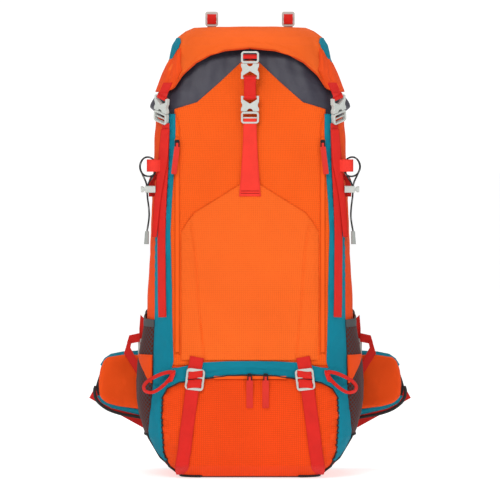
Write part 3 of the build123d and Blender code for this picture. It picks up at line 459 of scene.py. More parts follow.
def tube(name, path, radius, body, finish, count=80, sides=10, raw=False, **more):
    """A round section of a radius carried along a smooth path, closed by a cap at each end."""
    spine = np.asarray(path, dtype=float) if raw else smooth_path(path, count)
    n = len(spine)
    along = np.gradient(spine, axis=0)
    along /= np.linalg.norm(along, axis=1, keepdims=True)
    ref = np.array([0.0, 1.0, 0.0]) if abs(along[0, 1]) < 0.9 else np.array([1.0, 0.0, 0.0])
    normal = np.cross(along, ref)
    normal /= np.linalg.norm(normal, axis=1, keepdims=True) + 1e-9
    other = np.cross(along, normal)
    a = np.linspace(0, 2 * math.pi, sides, endpoint=False)[None, :, None]
    ring = spine[:, None] + radius * (np.cos(a) * normal[:, None] + np.sin(a) * other[:, None])
    points = np.vstack([ring.reshape(-1, 3), spine[:1], spine[-1:]])
    faces = grid_faces(n, sides, closed=True).tolist()
    for k in range(sides):
        faces.append((n * sides, (k + 1) % sides, k))
        faces.append((n * sides + 1, (n - 1) * sides + k, (n - 1) * sides + (k + 1) % sides))
    run = np.concatenate([[0], np.cumsum(np.linalg.norm(np.diff(spine, axis=0), axis=1))])
    around_v = np.linspace(0, 2 * math.pi * radius, sides, endpoint=False)
    uv = np.stack(np.meshgrid(around_v, run), axis=-1).reshape(-1, 2)
    uv = np.vstack([uv, [[0, 0], [0, run[-1]]]]) * MM
    data_points = points
    piece = bpy.data.meshes.new(name)
    piece.from_pydata((data_points * MM).tolist(), [], faces)
    layer = piece.uv_layers.new(name="UVMap")
    corners = np.empty(len(piece.loops), dtype=np.int32)
    piece.loops.foreach_get("vertex_index", corners)
    layer.data.foreach_set("uv", uv.astype(np.float32)[corners].ravel())
    piece.polygons.foreach_set("use_smooth", [True] * len(piece.polygons))
    made = bpy.data.objects.new(name, piece)
    bpy.context.scene.collection.objects.link(made)
    piece.materials.append(finish)
    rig.ride(made, body)
    if more.get("stands_for"):
        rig.replaces(made, *more["stands_for"])
    if more.get("slot"):
        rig.slot(made, more["slot"])
    return made


# ---- finishes ---------------------------------------------------------------------------------
class Nodes:
    """A material's node tree, with short ways to add and join nodes."""

    def __init__(self, name, base, roughness=0.7, specular=0.35):
        self.made = bpy.data.materials.new(name)
        self.made.use_nodes = True
        self.tree = self.made.node_tree
        self.shader = self.tree.nodes["Principled BSDF"]
        self.shader.inputs["Base Color"].default_value = (*base, 1)
        self.shader.inputs["Roughness"].default_value = roughness
        self.shader.inputs["Specular IOR Level"].default_value = specular
        self.base = base

    def add(self, kind, **values):
        node = self.tree.nodes.new(kind)
        for key, value in values.items():
            if hasattr(node, key):
                setattr(node, key, value)
            else:
                node.inputs[key.replace("_", " ")].default_value = value
        return node

    def join(self, source, target):
        self.tree.links.new(source, target)

    def place(self, uv):
        return self.add("ShaderNodeTexCoord").outputs["UV" if uv else "Object"]

    def math(self, kind, a, b=None):
        node = self.add("ShaderNodeMath", operation=kind)
        for socket, value in zip(node.inputs, (a, b)):
            if value is None:
                continue
            if isinstance(value, (int, float)):
                socket.default_value = value
            else:
                self.join(value, socket)
        return node.outputs[0]

    def noise(self, place, scale, detail=3.0, stretch=(1, 1, 1)):
        turn = self.add("ShaderNodeMapping")
        turn.inputs["Scale"].default_value = stretch
        self.join(place, turn.inputs["Vector"])
        node = self.add("ShaderNodeTexNoise", Scale=scale, Detail=detail)
        self.join(turn.outputs[0], node.inputs["Vector"])
        return node.outputs["Fac"]

    def tint(self, factor, low, high):
        """Base colour from low to high as a 0 to 1 factor rises."""
        mix = self.add("ShaderNodeMix", data_type="RGBA")
        self.join(factor, mix.inputs["Factor"])
        mix.inputs["A"].default_value = (*low, 1)
        mix.inputs["B"].default_value = (*high, 1)
        self.join(mix.outputs["Result"], self.shader.inputs["Base Color"])
        return mix.outputs["Result"]

    def bump(self, height, distance, strength=0.6):
        node = self.add("ShaderNodeBump", Strength=strength, Distance=distance)
        self.join(height, node.inputs["Height"])
        self.join(node.outputs[0], self.shader.inputs["Normal"])

    def lines(self, axis_value, spacing, sharp=6.0):
        """1 along thin lines a spacing apart, 0 between them."""
        wave = self.math("COSINE", self.math("MULTIPLY", axis_value, 2 * math.pi / spacing))
        lifted = self.math("MULTIPLY_ADD", wave, 0.5)
        lifted.node.inputs[2].default_value = 0.5
        return self.math("POWER", lifted, sharp)


def shade(base, factor):
    return tuple(min(1.0, c * factor) for c in base)


_finishes = {}


def cloth(key, base, spacing=None, spread=0.10, roughness=0.75, folds=0.0016):
    """Woven cloth: mottled colour, fine weave, ripstop threads where a spacing is given, soft creases."""
    if key in _finishes:
        return _finishes[key]
    m = Nodes(key, base, roughness, 0.14)
    uv = m.place(True)
    parts = m.add("ShaderNodeSeparateXYZ")
    m.join(uv, parts.inputs[0])
    u, v = parts.outputs[0], parts.outputs[1]
    broad = m.noise(m.place(False), 9, 3)
    weave = m.math("ADD", m.lines(u, 0.0009, 2), m.lines(v, 0.0009, 2))
    mottle = m.math("MULTIPLY", broad, 1.0)
    if spacing:
        threads = m.math("MAXIMUM", m.lines(u, spacing, 5), m.lines(v, spacing, 5))
        dull = m.math("MULTIPLY", threads, -0.85)
        mottle = m.math("ADD", broad, dull)
        weave = m.math("SUBTRACT", m.math("MULTIPLY", weave, 0.3), m.math("MULTIPLY", threads, 1.6))
    m.tint(mottle, shade(base, 1 - spread * 1.8), shade(base, 1 + spread * 1.6))
    creases = m.noise(m.place(False), 34, 4, (1, 1, 0.6))
    wide = m.noise(m.place(False), 11, 2, (1, 1, 0.5))
    slack = m.math("ADD", m.math("MULTIPLY", creases, folds * 800), m.math("MULTIPLY", wide, folds * 4200))
    m.bump(m.math("ADD", m.math("MULTIPLY", weave, 0.10), slack), 0.0034, 0.75)
    _finishes[key] = m.made
    return m.made


def tape(key, base, uv=True):
    """Webbing: warp ribs along it, a herringbone of weft across it, mottled dye."""
    if key in _finishes:
        return _finishes[key]
    m = Nodes(key, base, 0.66, 0.2)
    parts = m.add("ShaderNodeSeparateXYZ")
    m.join(m.place(uv), parts.inputs[0])
    u, v = parts.outputs[0], parts.outputs[1 if uv else 2]
    ribs = m.lines(u, 0.0015, 1.5)
    weft = m.lines(m.math("ADD", m.math("MULTIPLY", u, 0.6), v), 0.0012, 1.5)
    broad = m.noise(m.place(False), 30, 3)
    fine = m.math("MULTIPLY", m.math("ADD", ribs, weft), 0.22)
    m.tint(m.math("ADD", m.math("MULTIPLY", broad, 0.7), fine), shade(base, 0.74), shade(base, 1.2))
    m.bump(m.math("ADD", ribs, weft), 0.0004, 0.5)
    _finishes[key] = m.made
    return m.made


def plastic(key, base, roughness=0.42):
    """Moulded plastic: slight colour drift and a fine sparked texture."""
    if key in _finishes:
        return _finishes[key]
    m = Nodes(key, base, roughness, 0.45)
    place = m.place(False)
    m.tint(m.noise(place, 60, 2), shade(base, 0.9), shade(base, 1.08))
    m.bump(m.noise(place, 2600, 2), 0.0002, 0.35)
    _finishes[key] = m.made
    return m.made


def coated(key, base):
    """Coated cloth: smooth face with a soft gloss and tight crumpled creases. Its colour is darker along the crease
    lines and paler on the ridges between them, which is painted shade in the creases and painted highlight on the
    ridges, over a random mottle.
    """
    if key in _finishes:
        return _finishes[key]
    m = Nodes(key, base, 0.5, 0.34)
    place = m.place(False)
    crumple = m.add("ShaderNodeTexVoronoi", feature="DISTANCE_TO_EDGE", Scale=15.0)
    bent = m.add("ShaderNodeMix", data_type="VECTOR")
    bent.inputs["Factor"].default_value = 0.08
    wander = m.add("ShaderNodeTexNoise", Scale=14.0, Detail=3.0)
    m.join(place, wander.inputs["Vector"])
    m.join(place, bent.inputs["A"])
    m.join(wander.outputs["Color"], bent.inputs["B"])
    m.join(bent.outputs["Result"], crumple.inputs["Vector"])
    # folds is the distance from the crumple's crease lines; it drives the bump and the painted shade and highlight of
    # the tint below
    folds = m.math("MINIMUM", crumple.outputs["Distance"], 0.22)
    broad = m.noise(place, 12, 4)
    # painted shade and highlight: the tint darkens towards the crease lines and pales on the ridges between them, over
    # the broad random mottle
    m.tint(m.math("ADD", m.math("MULTIPLY", broad, 0.7), m.math("MULTIPLY", folds, 0.3)), shade(base, 0.7), shade(base, 1.15))
    m.bump(m.math("ADD", m.math("MULTIPLY", folds, 0.8), m.math("MULTIPLY", broad, 2.6)), 0.003, 0.6)
    _finishes[key] = m.made
    return m.made


def netting(key, base, behind):
    """Stretch mesh: dark threads round small holes painted in the behind colour, a darkened copy of the cloth behind
    the mesh as painted shade, patchy by a noise.
    """
    if key in _finishes:
        return _finishes[key]
    m = Nodes(key, base, 0.8, 0.2)
    parts = m.add("ShaderNodeSeparateXYZ")
    m.join(m.place(True), parts.inputs[0])
    u, v = parts.outputs[0], parts.outputs[1]
    slant_a = m.lines(m.math("ADD", u, v), 0.0078, 0.8)
    slant_b = m.lines(m.math("SUBTRACT", u, v), 0.0078, 0.8)
    holes = m.math("MULTIPLY", slant_a, slant_b)
    # painted shade: the holes take the darkened cloth colour, more or less of it by a noise
    worn = m.math("MULTIPLY", m.noise(m.place(False), 18, 3), 1.5)
    m.tint(m.math("MULTIPLY", holes, m.math("MULTIPLY", worn, 3.0)), base, behind)
    m.bump(m.math("MULTIPLY", holes, -1.0), 0.0008, 0.7)
    _finishes[key] = m.made
    return m.made


def metal(key, base, roughness=0.35):
    """Bare or painted metal with fine scratches."""
    if key in _finishes:
        return _finishes[key]
    m = Nodes(key, base, roughness, 0.5)
    m.shader.inputs["Metallic"].default_value = 0.9
    place = m.place(False)
    m.tint(m.noise(place, 90, 3, (1, 1, 8)), shade(base, 0.8), shade(base, 1.15))
    m.bump(m.noise(place, 700, 3, (1, 1, 12)), 0.0002, 0.3)
    _finishes[key] = m.made
    return m.made


def braid(key, base):
    """Braided elastic: crossing strands with pale flecks."""
    if key in _finishes:
        return _finishes[key]
    m = Nodes(key, base, 0.6, 0.3)
    parts = m.add("ShaderNodeSeparateXYZ")
    m.join(m.place(True), parts.inputs[0])
    u, v = parts.outputs[0], parts.outputs[1]
    a = m.lines(m.math("ADD", m.math("MULTIPLY", u, 14.0), m.math("MULTIPLY", v, 2.0)), 1.0, 1.5)
    b = m.lines(m.math("SUBTRACT", m.math("MULTIPLY", u, 14.0), m.math("MULTIPLY", v, 2.0)), 1.0, 1.5)
    m.tint(m.math("POWER", m.math("MULTIPLY", a, b), 2.0), base, shade((0.5, 0.5, 0.5), 0.5))
    m.bump(m.math("MAXIMUM", a, b), 0.0003, 0.6)
    _finishes[key] = m.made
    return m.made


def paint_node(node, finish):
    """Gives a carried-over CAD node a finish."""
    piece = frame["nodes"][node]
    piece.data.materials.clear()
    piece.data.materials.append(finish)


def ripstop(key, base):
    return cloth(key, base, spacing=sizes().ripstop)


def red():
    return tape("red_webbing", colours().webbing)


def charcoal_cloth():
    return cloth("binding", colours().piping, spread=0.2)


# ---- body cloth -------------------------------------------------------------------------------
# (z, x) of the front panel's edge, under the side strip's inner edge
STRIP_IN = [(195, 127), (219, 127.8), (280, 129.5), (314, 129.6), (413, 132.1), (463, 129.6), (530, 125), (579, 123.8), (606, 124)]
STRIP_OUT = [(25, 135), (37, 151), (40, 159), (61, 165), (81, 170), (90, 168.7), (123, 167.5), (139, 163.5), (164, 161),
             (214, 160.4), (280, 158.2), (380, 158), (413, 156.9), (440, 146), (463, 138), (530, 135), (606, 135)]
LEG_IN = [(25, 135), (40, 143), (51, 144), (81, 146), (106, 147), (139, 145.6), (153, 137)]
PEAK = [(0, 699), (14, 695), (50, 661), (88, 627.5), (126, 616), (135, 614)]
ARCH_TOP = [(0, 197.5), (40, 197), (80, 195), (120, 186.5), (128, 186)]
ARCH_LOW = [(0, 175.5), (40, 174), (80, 168.5), (118, 163), (137, 153), (146, 137), (150, 130)]
POCKET_TOP = [(0, 500), (15, 492), (50, 470), (92, 444), (105, 427), (114, 412)]
PLEAT = [(200, 74), (222, 76), (297, 83.5), (373, 88), (409, 93), (433, 99), (445, 101)]


def front_bulge(x, z):
    """Fill of the front panel: slack between its zips, with long soft dents."""
    fade = step(117 - np.abs(x), 0, 26) * step(z, 205, 240) * step(640 - z, 0, 60)
    return fade * ripple(x, z, (0.5, 0.05, 0.022, 1.0), (0.35, -0.09, 0.05, 0.3), (0.25, 0.16, 0.07, 2.0)) - 0.5


class PACK_OT_front_panel(bpy.types.Operator):
    """Front panel with a peaked top edge, running between the two side strips.

    Surface: a grid over x and z laid on the bag's plan sections. z runs from the arch to the peaked edge of
    each column; the panel is pushed out by a sum of slanting sine waves that fade out towards its zips.
    """
    bl_idname = "pack.front_panel"
    bl_label = "Front panel"

    def execute(self, context):
        v = np.linspace(0, 1, 150)[:, None]
        u = np.linspace(-1, 1, 121)[None, :]
        edge = line(190 + v * 420, STRIP_IN) + 2
        x = u * edge
        z = 190 + v * (line(np.abs(x), PEAK) - 190)
        lift = front_bulge(x, z)
        lift += crease(np.abs(x), 121, 3.0, -0.7) * step(z, 206, 214) * step(575 - z, 0, 8)
        lift -= crease(z, line(np.abs(x), PEAK) - 5, 1.2, 0.5)
        skin("front_panel_cloth", on_bag(x, z, lift), "pack", ripstop("front_cloth", colours().front),
             stands_for=("front_panel",), slot="front_fabric")
        return {"FINISHED"}


class PACK_OT_front_pocket(bpy.types.Operator):
    """Big front pocket: a panel with a pointed top and a pleat down each side.

    Surface: a grid over x and z on the bag's sections. It rises from its sewn edge to its fill by a smooth
    step, dips in a groove along each pleat line, and sags by slow sine waves between them.
    """
    bl_idname = "pack.front_pocket"
    bl_label = "Front pocket"

    def execute(self, context):
        v = np.linspace(0, 1, 170)[:, None]
        u = np.linspace(-1, 1, 191)[None, :]
        x = u * 114 + 0 * v
        top = line(np.abs(x), POCKET_TOP)
        z = 199 + v * (top - 199)
        ax = np.abs(x)
        pleat = line(z, PLEAT)
        inner = step(pleat - ax, -1.0, 2.5)
        fill = 3.4 * step(pleat - ax, 2, 34) * step(top - z, 3, 60) * step(z, 200, 250)
        gusset = 1.9 * step(114 - ax, 0, 9) * step(top - z, 0, 12) * (1 - inner)
        lift = 0.5 + gusset + inner * (1.3 + 0.75 * fill) * step(top - z, 0, 8)
        lift += crease(ax, pleat + 2.2, 2.2, -2.0) * step(top - z, 2, 14)
        lift += step(top - z, 6, 40) * ripple(x, z, (0.55, 0.035, 0.03, 0.4), (0.4, -0.06, 0.045, 1.9),
                                              (0.28, 0.12, -0.05, 0.7), (0.15, 0.22, 0.13, 2.2))
        fold = np.abs((z - 412) - (114 - ax) * -0.95)
        lift += np.exp(-((fold / 3) ** 2)) * step(ax, 90, 96) * -0.8
        lift *= step(top - z, -1, 2)
        skin("front_pocket_cloth", on_bag(x, z, lift), "pack", ripstop("pocket_cloth", colours().pocket),
             slot="front_fabric")
        # painted shade: the pocket's top seam and the zips' stitch lines are thin tubes of darker orange, the seam
        # lines with the shade of their grooves painted in
        seam = cloth("seam_line_shade", shade(colours().front, 0.86))
        x = np.linspace(-113.6, 113.6, 160)
        tube("pocket_seam", on_bag(x, line(np.abs(x), POCKET_TOP) + 0.5, 0.1 + 0 * x), 0.6, "pack", seam, raw=True, sides=8,
             slot="front_fabric")
        for side, name in ((-1, "left"), (1, "right")):
            for key, at in (("outer", 124.6), ("inner", 117.4)):
                z = np.linspace(208, 566, 60)
                tube(f"{name}_zip_stitch_shade_{key}", on_bag(side * at + 0 * z, z, 0.2 + 0 * z), 0.75, "pack", seam, raw=True,
                     sides=6, slot="front_fabric")
            z = np.linspace(560, 612, 30)
            x = side * line(z, [(560, 117), (590, 117.5), (612, 124.5)])
            tube(f"{name}_zip_top_seam_shade", on_bag(x, z, 0.0 + 0 * z), 0.7, "pack", seam, raw=True, sides=6, slot="front_fabric")
        return {"FINISHED"}


class PACK_OT_lower_panel(bpy.types.Operator):
    """Front of the base compartment: full and low, gathered where its edges are sewn to the side legs.

    Surface: a grid over x and z on the bag's sections, with a smooth bulge and short slanting waves that
    grow towards the two side edges.
    """
    bl_idname = "pack.lower_panel"
    bl_label = "Lower panel"

    def execute(self, context):
        v = np.linspace(0, 1, 110)[:, None]
        u = np.linspace(-1, 1, 201)[None, :]
        z = 2.5 + v * 190 + 0 * u
        edge = line(z, [(2, 110), (10, 123), (20, 136), (48, 144), (100, 150), (140, 149), (176, 132), (193, 130)])
        x = u * edge
        near = step(np.abs(u), 0.62, 1.0)
        lift = 2.0 * step(z, 6, 50) * step(184 - z, 0, 50) * step(1 - np.abs(u), 0, 0.16) - 0.4
        lift += near * step(z, 10, 40) * ripple(np.abs(x), z, (1.3, 0.06, 0.22, 0.3), (0.9, -0.11, 0.34, 1.2))
        lift += step(z, 8, 40) * ripple(x, z, (0.5, 0.045, 0.05, 0.9), (0.45, -0.03, 0.09, 2.0), (0.25, 0.13, 0.06, 0.2))
        lift -= crease(z, 170, 3.2, 1.4) * step(62 - np.abs(x), -3, 3)
        lift -= crease(z, line(np.abs(x), ARCH_LOW) - 4, 4.0, 1.2)
        tucked = np.maximum(step(z - line(np.abs(x), ARCH_LOW), -2.6, -0.2), step(np.abs(x) - line(z, LEG_IN), 0.3, 2.5))
        lift = lift * (1 - tucked) - 1.2 * tucked
        skin("lower_panel_cloth", on_bag(x, z, lift), "pack", ripstop("lower_cloth", colours().base),
             stands_for=("lower_front_panel",), slot="front_fabric")
        return {"FINISHED"}


class PACK_OT_sides(bpy.types.Operator):
    """The two sides of the bag, from under the side strips round to the padded back.

    Surface: a grid walked round the plan section from the front corner to the rear corner and up in z, with
    slow dents that make the wall look filled.
    """
    bl_idname = "pack.sides"
    bl_label = "Sides"

    def execute(self, context):
        v = np.linspace(0, 1, 130)[:, None]
        u = np.linspace(0, 1, 60)[None, :]
        z = 3 + v * 600 + 0 * u
        start = around(BAG, BAG_BACK, line(z, [(3, 100), (25, 128), (150, 140), (200, 140), (603, 128)]), z)
        t = start + (aside(BAG, BAG_BACK, 104.5, z) - start) * u
        lift = -0.9 + 0.9 * step(z, 585, 600) + step(u, 0, 0.2) * step(z, 10, 60) * step(600 - z, 0, 40) * ripple(
            u, z, (0.8, 9, 0.02, 0.5), (0.6, -14, 0.05, 1.3), (0.35, 22, 0.09, 0.1))
        right = wrap(BAG, BAG_BACK, t, z, lift)
        finish = cloth("side_cloth", colours().side)
        skin("right_side_cloth", right, "pack", finish, stands_for=("right_side_panel",), slot="side_fabric")
        skin("left_side_cloth", mirrored(right), "pack", finish, stands_for=("left_side_panel",), slot="side_fabric")
        return {"FINISHED"}


class PACK_OT_side_strips(bpy.types.Operator):
    """Reinforcing strips down the front corners, and the arch over the base compartment with its two legs.

    Surface: grids on the bag's sections between two edge lines; sewn edges are pressed in by a smooth step
    and the cloth between them carries short gathers.
    """
    bl_idname = "pack.side_strips"
    bl_label = "Side strips and arch"

    def execute(self, context):
        finish = cloth("teal_cloth", colours().teal, spread=0.13)
        v = np.linspace(0, 1, 190)[:, None]
        u = np.linspace(0, 1, 25)[None, :]
        z = 150 + v * 458 + 0 * u
        inner, outer = line(z, STRIP_IN) + step(200 - z, 0, 40) * 12, line(z, STRIP_OUT)
        x = inner + (outer - inner) * u
        puff = step(u, 0, 0.25) * step(1 - u, 0, 0.2)
        lift = 0.7 + 1.2 * puff + puff * ripple(x, z, (0.5, 0.2, 0.11, 0.4), (0.35, -0.3, 0.21, 1.0))
        lift += step(z, 300, 340) * step(u, 0.3, 0.9) * ripple(x, z, (0.5, 0.1, 0.42, 0.0))
        right = on_bag(x, z, lift)
        skin("right_strip_cloth", right, "pack", finish, slot="teal_fabric", stands_for=("yoke_arch",))
        skin("left_strip_cloth", mirrored(right), "pack", finish, slot="teal_fabric")
        v = np.linspace(0, 1, 26)[:, None]
        u = np.linspace(-1, 1, 161)[None, :]
        x = u * 150 + 0 * v
        top, low = line(np.abs(x), ARCH_TOP), line(np.abs(x), ARCH_LOW)
        z = low + (top - low) * v
        puff = step(v, 0, 0.3) * step(1 - v, 0, 0.35)
        lift = 1.9 + 1.4 * puff + puff * ripple(x, z, (0.35, 0.07, 0.1, 0.2), (0.2, 0.2, 0.2, 1.0))
        slide = step(82 - np.abs(x), 0, 8) * step(low + 13 - z, 0, 6)
        lift = lift * (1 - slide) + 0.2 * slide
        skin("arch_cloth", on_bag(x, z, lift), "pack", finish, slot="teal_fabric")
        v = np.linspace(0, 1, 70)[:, None]
        u = np.linspace(0, 1, 21)[None, :]
        z = 25 + v * 132 + 0 * u
        inner, outer = line(z, LEG_IN), line(z, STRIP_OUT)
        x = inner + (outer - inner) * u
        puff = step(u, 0, 0.25) * step(1 - u, 0, 0.2)
        lift = 1.5 + 1.0 * puff + puff * ripple(x, z, (0.5, 0.3, 0.09, 0.4), (0.3, -0.2, 0.2, 1.0))
        right = on_bag(x, z, lift)
        skin("right_leg_cloth", right, "pack", finish, slot="teal_fabric")
        skin("left_leg_cloth", mirrored(right), "pack", finish, slot="teal_fabric")
        z = np.linspace(27, 137, 140)
        wave = np.sin(z * 0.75) + 0.6 * np.sin(z * 1.31 + 0.5)
        x = line(z, LEG_IN) - 0.6 + 0.55 * wave
        for side, name in ((-1, "left"), (1, "right")):
            low = np.linspace(24, 118, 60)
            edge = line(low, STRIP_OUT) + 1.5
            tube(f"{name}_leg_piping", on_bag(side * edge, low, 1.6 + 0 * low), 1.8, "pack", charcoal_cloth(), raw=True, sides=8,
                 slot="dark_fabric")
            tube(f"{name}_leg_seam", on_bag(side * x, z, 1.2 + 0.3 * wave), 1.1, "pack", charcoal_cloth(), raw=True, sides=8,
                 slot="dark_fabric")
        x = np.linspace(-146, 146, 240)
        wave = np.sin(x * 0.31) * 0.25
        tube("arch_seam", on_bag(x, line(np.abs(x), ARCH_LOW) - 1.2 + wave, 1.3 + 0 * x), 1.1, "pack", charcoal_cloth(), raw=True,
             sides=8, slot="dark_fabric")
        return {"FINISHED"}


class PACK_OT_collar(bpy.types.Operator):
    """Coated collar that closes the top of the bag under the hood.

    Surface: a closed grid round the plan section and up in z, bellied low down and crumpled by several
    crossing sine waves of the angle and the height.
    """
    bl_idname = "pack.collar"
    bl_label = "Collar"

    def execute(self, context):
        v = np.linspace(0, 1, 60)[:, None]
        t = np.linspace(-0.96, 0.96, 321)[None, :]
        z = 588 + v * 145 + 0 * t
        lift = -2.2 - 0.55 * np.clip(z - 700, 0, 40) - 2.5 * step(606 - z, 0, 4)
        x = np.abs(wrap(BAG, BAG_BACK, t, z)[..., 0])
        shown = step(z - line(x, PEAK), -3, 5)
        lift += 4.6 * np.exp(-(((z - 616) / 14) ** 2)) * step(np.abs(t), 0.22, 0.34) * step(z, 601, 607) * shown
        belly = step(np.abs(t), 0.34, 0.42) * step(0.60 - np.abs(t), 0, 0.1)
        lift += 9.5 * step(z, 598, 622) * step(654 - z, 0, 26) * belly
        lift += shown * step(z, 602, 610) * ripple(t, z, (0.45, 44, 0.02, 0.3), (0.35, -71, 0.05, 1.1), (0.25, 127, 0.03, 0.6),
                                                 (0.2, 33, 0.2, 0.2))
        rear = np.abs(t) > 0.62
        lift = np.where(rear, np.minimum(lift, -1.0), lift)
        skin("collar_cloth", wrap(BAG, BAG_BACK, t, z, lift), "pack", coated("collar_cloth", colours().charcoal),
             stands_for=("collar",), slot="dark_fabric")
        return {"FINISHED"}


class PACK_OT_base(bpy.types.Operator):
    """Underside of the bag, with the binding round its edge.

    Surface: the lowest plan section shrunk towards its middle, flat on the ground, and a round section
    carried round that outline.
    """
    bl_idname = "pack.base"
    bl_label = "Base"

    def execute(self, context):
        w = np.linspace(0, 1, 24)[:, None]
        t = np.linspace(-1, 1, 161)[None, :]
        ring = wrap(BAG, BAG_BACK - 3, t + 0 * w, 3.0 + 0 * w * t, -0.8)
        middle = np.array([0.0, 10.0, 0.0])
        points = middle + (ring - middle) * np.array([1, 1, 1]) * w[..., None] ** 0.5
        points[..., 2] = 0.4 + 2.4 * step(w, 0.9, 1.0)
        skin("base_cloth", points, "pack", charcoal_cloth(), thick=0.0, stands_for=("base_tray",), slot="dark_fabric")
        t = np.linspace(-0.62, 0.62, 140)
        rim = wrap(BAG, BAG_BACK, t, 3.2 + 0 * t, 0.2)
        tube("base_piping", rim, 2.6, "pack", charcoal_cloth(), raw=True, slot="dark_fabric")
        for side, name in ((-1, "left"), (1, "right")):
            z = np.linspace(5, 30, 30)
            x = side * line(z, [(5, 112), (10, 122), (20, 134), (30, 138)])
            tube(f"{name}_corner_piping", on_bag(x, z, 1.0), 2.4, "pack", charcoal_cloth(), raw=True, slot="dark_fabric")
        return {"FINISHED"}


# ---- hood -------------------------------------------------------------------------------------
HEM = [(0, 717), (42, 713), (66, 706), (90, 693), (113, 672), (127, 651), (140, 645)]


def hem_height(t):
    """Height of the hood's lower edge round its section: arched at the front, level on the sides, high behind."""
    xs = np.array([p[0] for p in HEM], dtype=float)
    zs = np.array([p[1] for p in HEM], dtype=float)
    places = around(HOOD, HOOD_BACK, xs, zs)
    side = aside(HOOD, HOOD_BACK, 88.0, 650.0)
    rear = aside(HOOD, HOOD_BACK, 96.0, 690.0)
    return np.interp(np.abs(t), np.append(places, [side, rear, 1.0]), np.append(zs, [646.0, 702.0, 702.0]))


class PACK_OT_hood(bpy.types.Operator):
    """Hood cloth: an arched skirt rising to a flat padded crown.

    Surface: rows run from the hem up through the hood's plan sections, then shrink to the middle of the
    crown; the crown domes by a cosine and the walls carry vertical gathers and slack waves.
    """
    bl_idname = "pack.hood"
    bl_label = "Hood"

    def execute(self, context):
        t = np.linspace(-1, 1, 321)[None, :]
        v = np.linspace(0, 1, 90)[:, None]
        hem = hem_height(t)
        z = hem + (752 - hem) * v
        at = np.abs(t)
        front = 1 - step(at, 0.30, 0.42)
        lift = -0.2 + crease(z, hem + 3, 2.5, 0.9) + crease(z, hem + 10, 2.0, -0.7)
        slack = step(z, 655, 690) * step(744 - z, 0, 20) * step(0.9 - at, 0, 0.1)
        lift += slack * ripple(t, z, (0.9, 26, 0.05, 0.7), (0.7, -41, 0.09, 0.1), (0.4, 75, 0.12, 0.8))
        corner = np.exp(-(((at - 0.31) / 0.05) ** 2))
        lift += corner * step(z, 650, 670) * step(712 - z, 0, 20) * ripple(at, z, (1.3, 150, 0.12, 0.2), (0.7, 90, 0.3, 1.0))
        seam = around(HOOD, HOOD_BACK, 115.5 + 0 * z, np.clip(z, 640, 720))
        lift += np.exp(-(((at - seam) / 0.0045) ** 2)) * step(z, 665, 672) * step(712 - z, 0, 6) * -1.6
        lift += crease(z, 738, 1.6, -0.8) * front
        walls = wrap(HOOD, HOOD_BACK, t + 0 * v, z, lift)
        w = np.linspace(0, 1, 30)[1:, None, None]
        rim = walls[-1:]
        middle = np.array([0.0, 18.0, 752.0])
        crown = rim + (middle - rim) * w
        crown[..., 2] = 752 + 2.5 * np.sin(w[..., 0] * math.pi / 2) + step(w[..., 0], 0, 0.3) * ripple(
            crown[..., 0], crown[..., 1], (0.6, 0.05, 0.04, 0.4), (0.4, -0.09, 0.07, 0.2)) * (1 - w[..., 0])
        points = np.concatenate([walls, crown])
        skin("hood_cloth", points, "hood", cloth("hood_cloth", colours().hood, spread=0.08),
             stands_for=("lid",), slot="lid_fabric")
        return {"FINISHED"}


class PACK_OT_hood_sides(bpy.types.Operator):
    """Side panels of the hood, darker than its crown, joined to it by an upright seam behind each front corner.

    Surface: a grid on the hood's sections from the seam to the rear and from the hem to the gusset, gathered
    by upright folds that are deepest next to the seam.
    """
    bl_idname = "pack.hood_sides"
    bl_label = "Hood sides"

    def execute(self, context):
        v = np.linspace(0, 1, 60)[:, None]
        u = np.linspace(0, 1, 150)[None, :] ** 1.7
        high = line(u, [(0, 718), (0.06, 712), (0.2, 700), (1, 697)])
        guess = around(HOOD, HOOD_BACK, line(v * 75 + 645, [(645, 128), (671, 116.5), (720, 115)]), 645 + v * 75)
        t = guess + (aside(HOOD, HOOD_BACK, 94.0, 680.0) - guess) * u
        low = hem_height(t) - 0.5
        z = low + (high - low) * v
        near = np.exp(-u * 9)
        lift = 0.5 + step(u, 0, 0.03) * step(high - z, 0, 9) * (1.0 + near * step(z, 650, 668) * step(716 - z, 0, 14) * ripple(
            u, z, (1.7, 62, 0.035, 0.2), (0.9, 118, -0.03, 1.0)) + ripple(u, z, (0.6, 14, 0.06, 0.3)))
        right = wrap(HOOD, HOOD_BACK, t, z, lift)
        finish = cloth("hood_side_cloth", shade(colours().side, 1.0), spread=0.12)
        skin("right_hood_side", right, "hood", finish, slot="lid_fabric")
        skin("left_hood_side", mirrored(right), "hood", finish, slot="lid_fabric")
        for side, name in ((-1, "left"), (1, "right")):
            at = smooth_path([(-65, 90.4, 776), (-65, 89.2, 770), (-65, 89.2, 765), (-65, 90.4, 759.5)], 14)
            band(f"{name}_hood_fold", at * np.array([-side, 1, 1]) * np.array([-1, 1, 1]), (-1, 0, 0), 15.5, "hood", red(), raw=True,
                 slot="red_webbing")
        return {"FINISHED"}


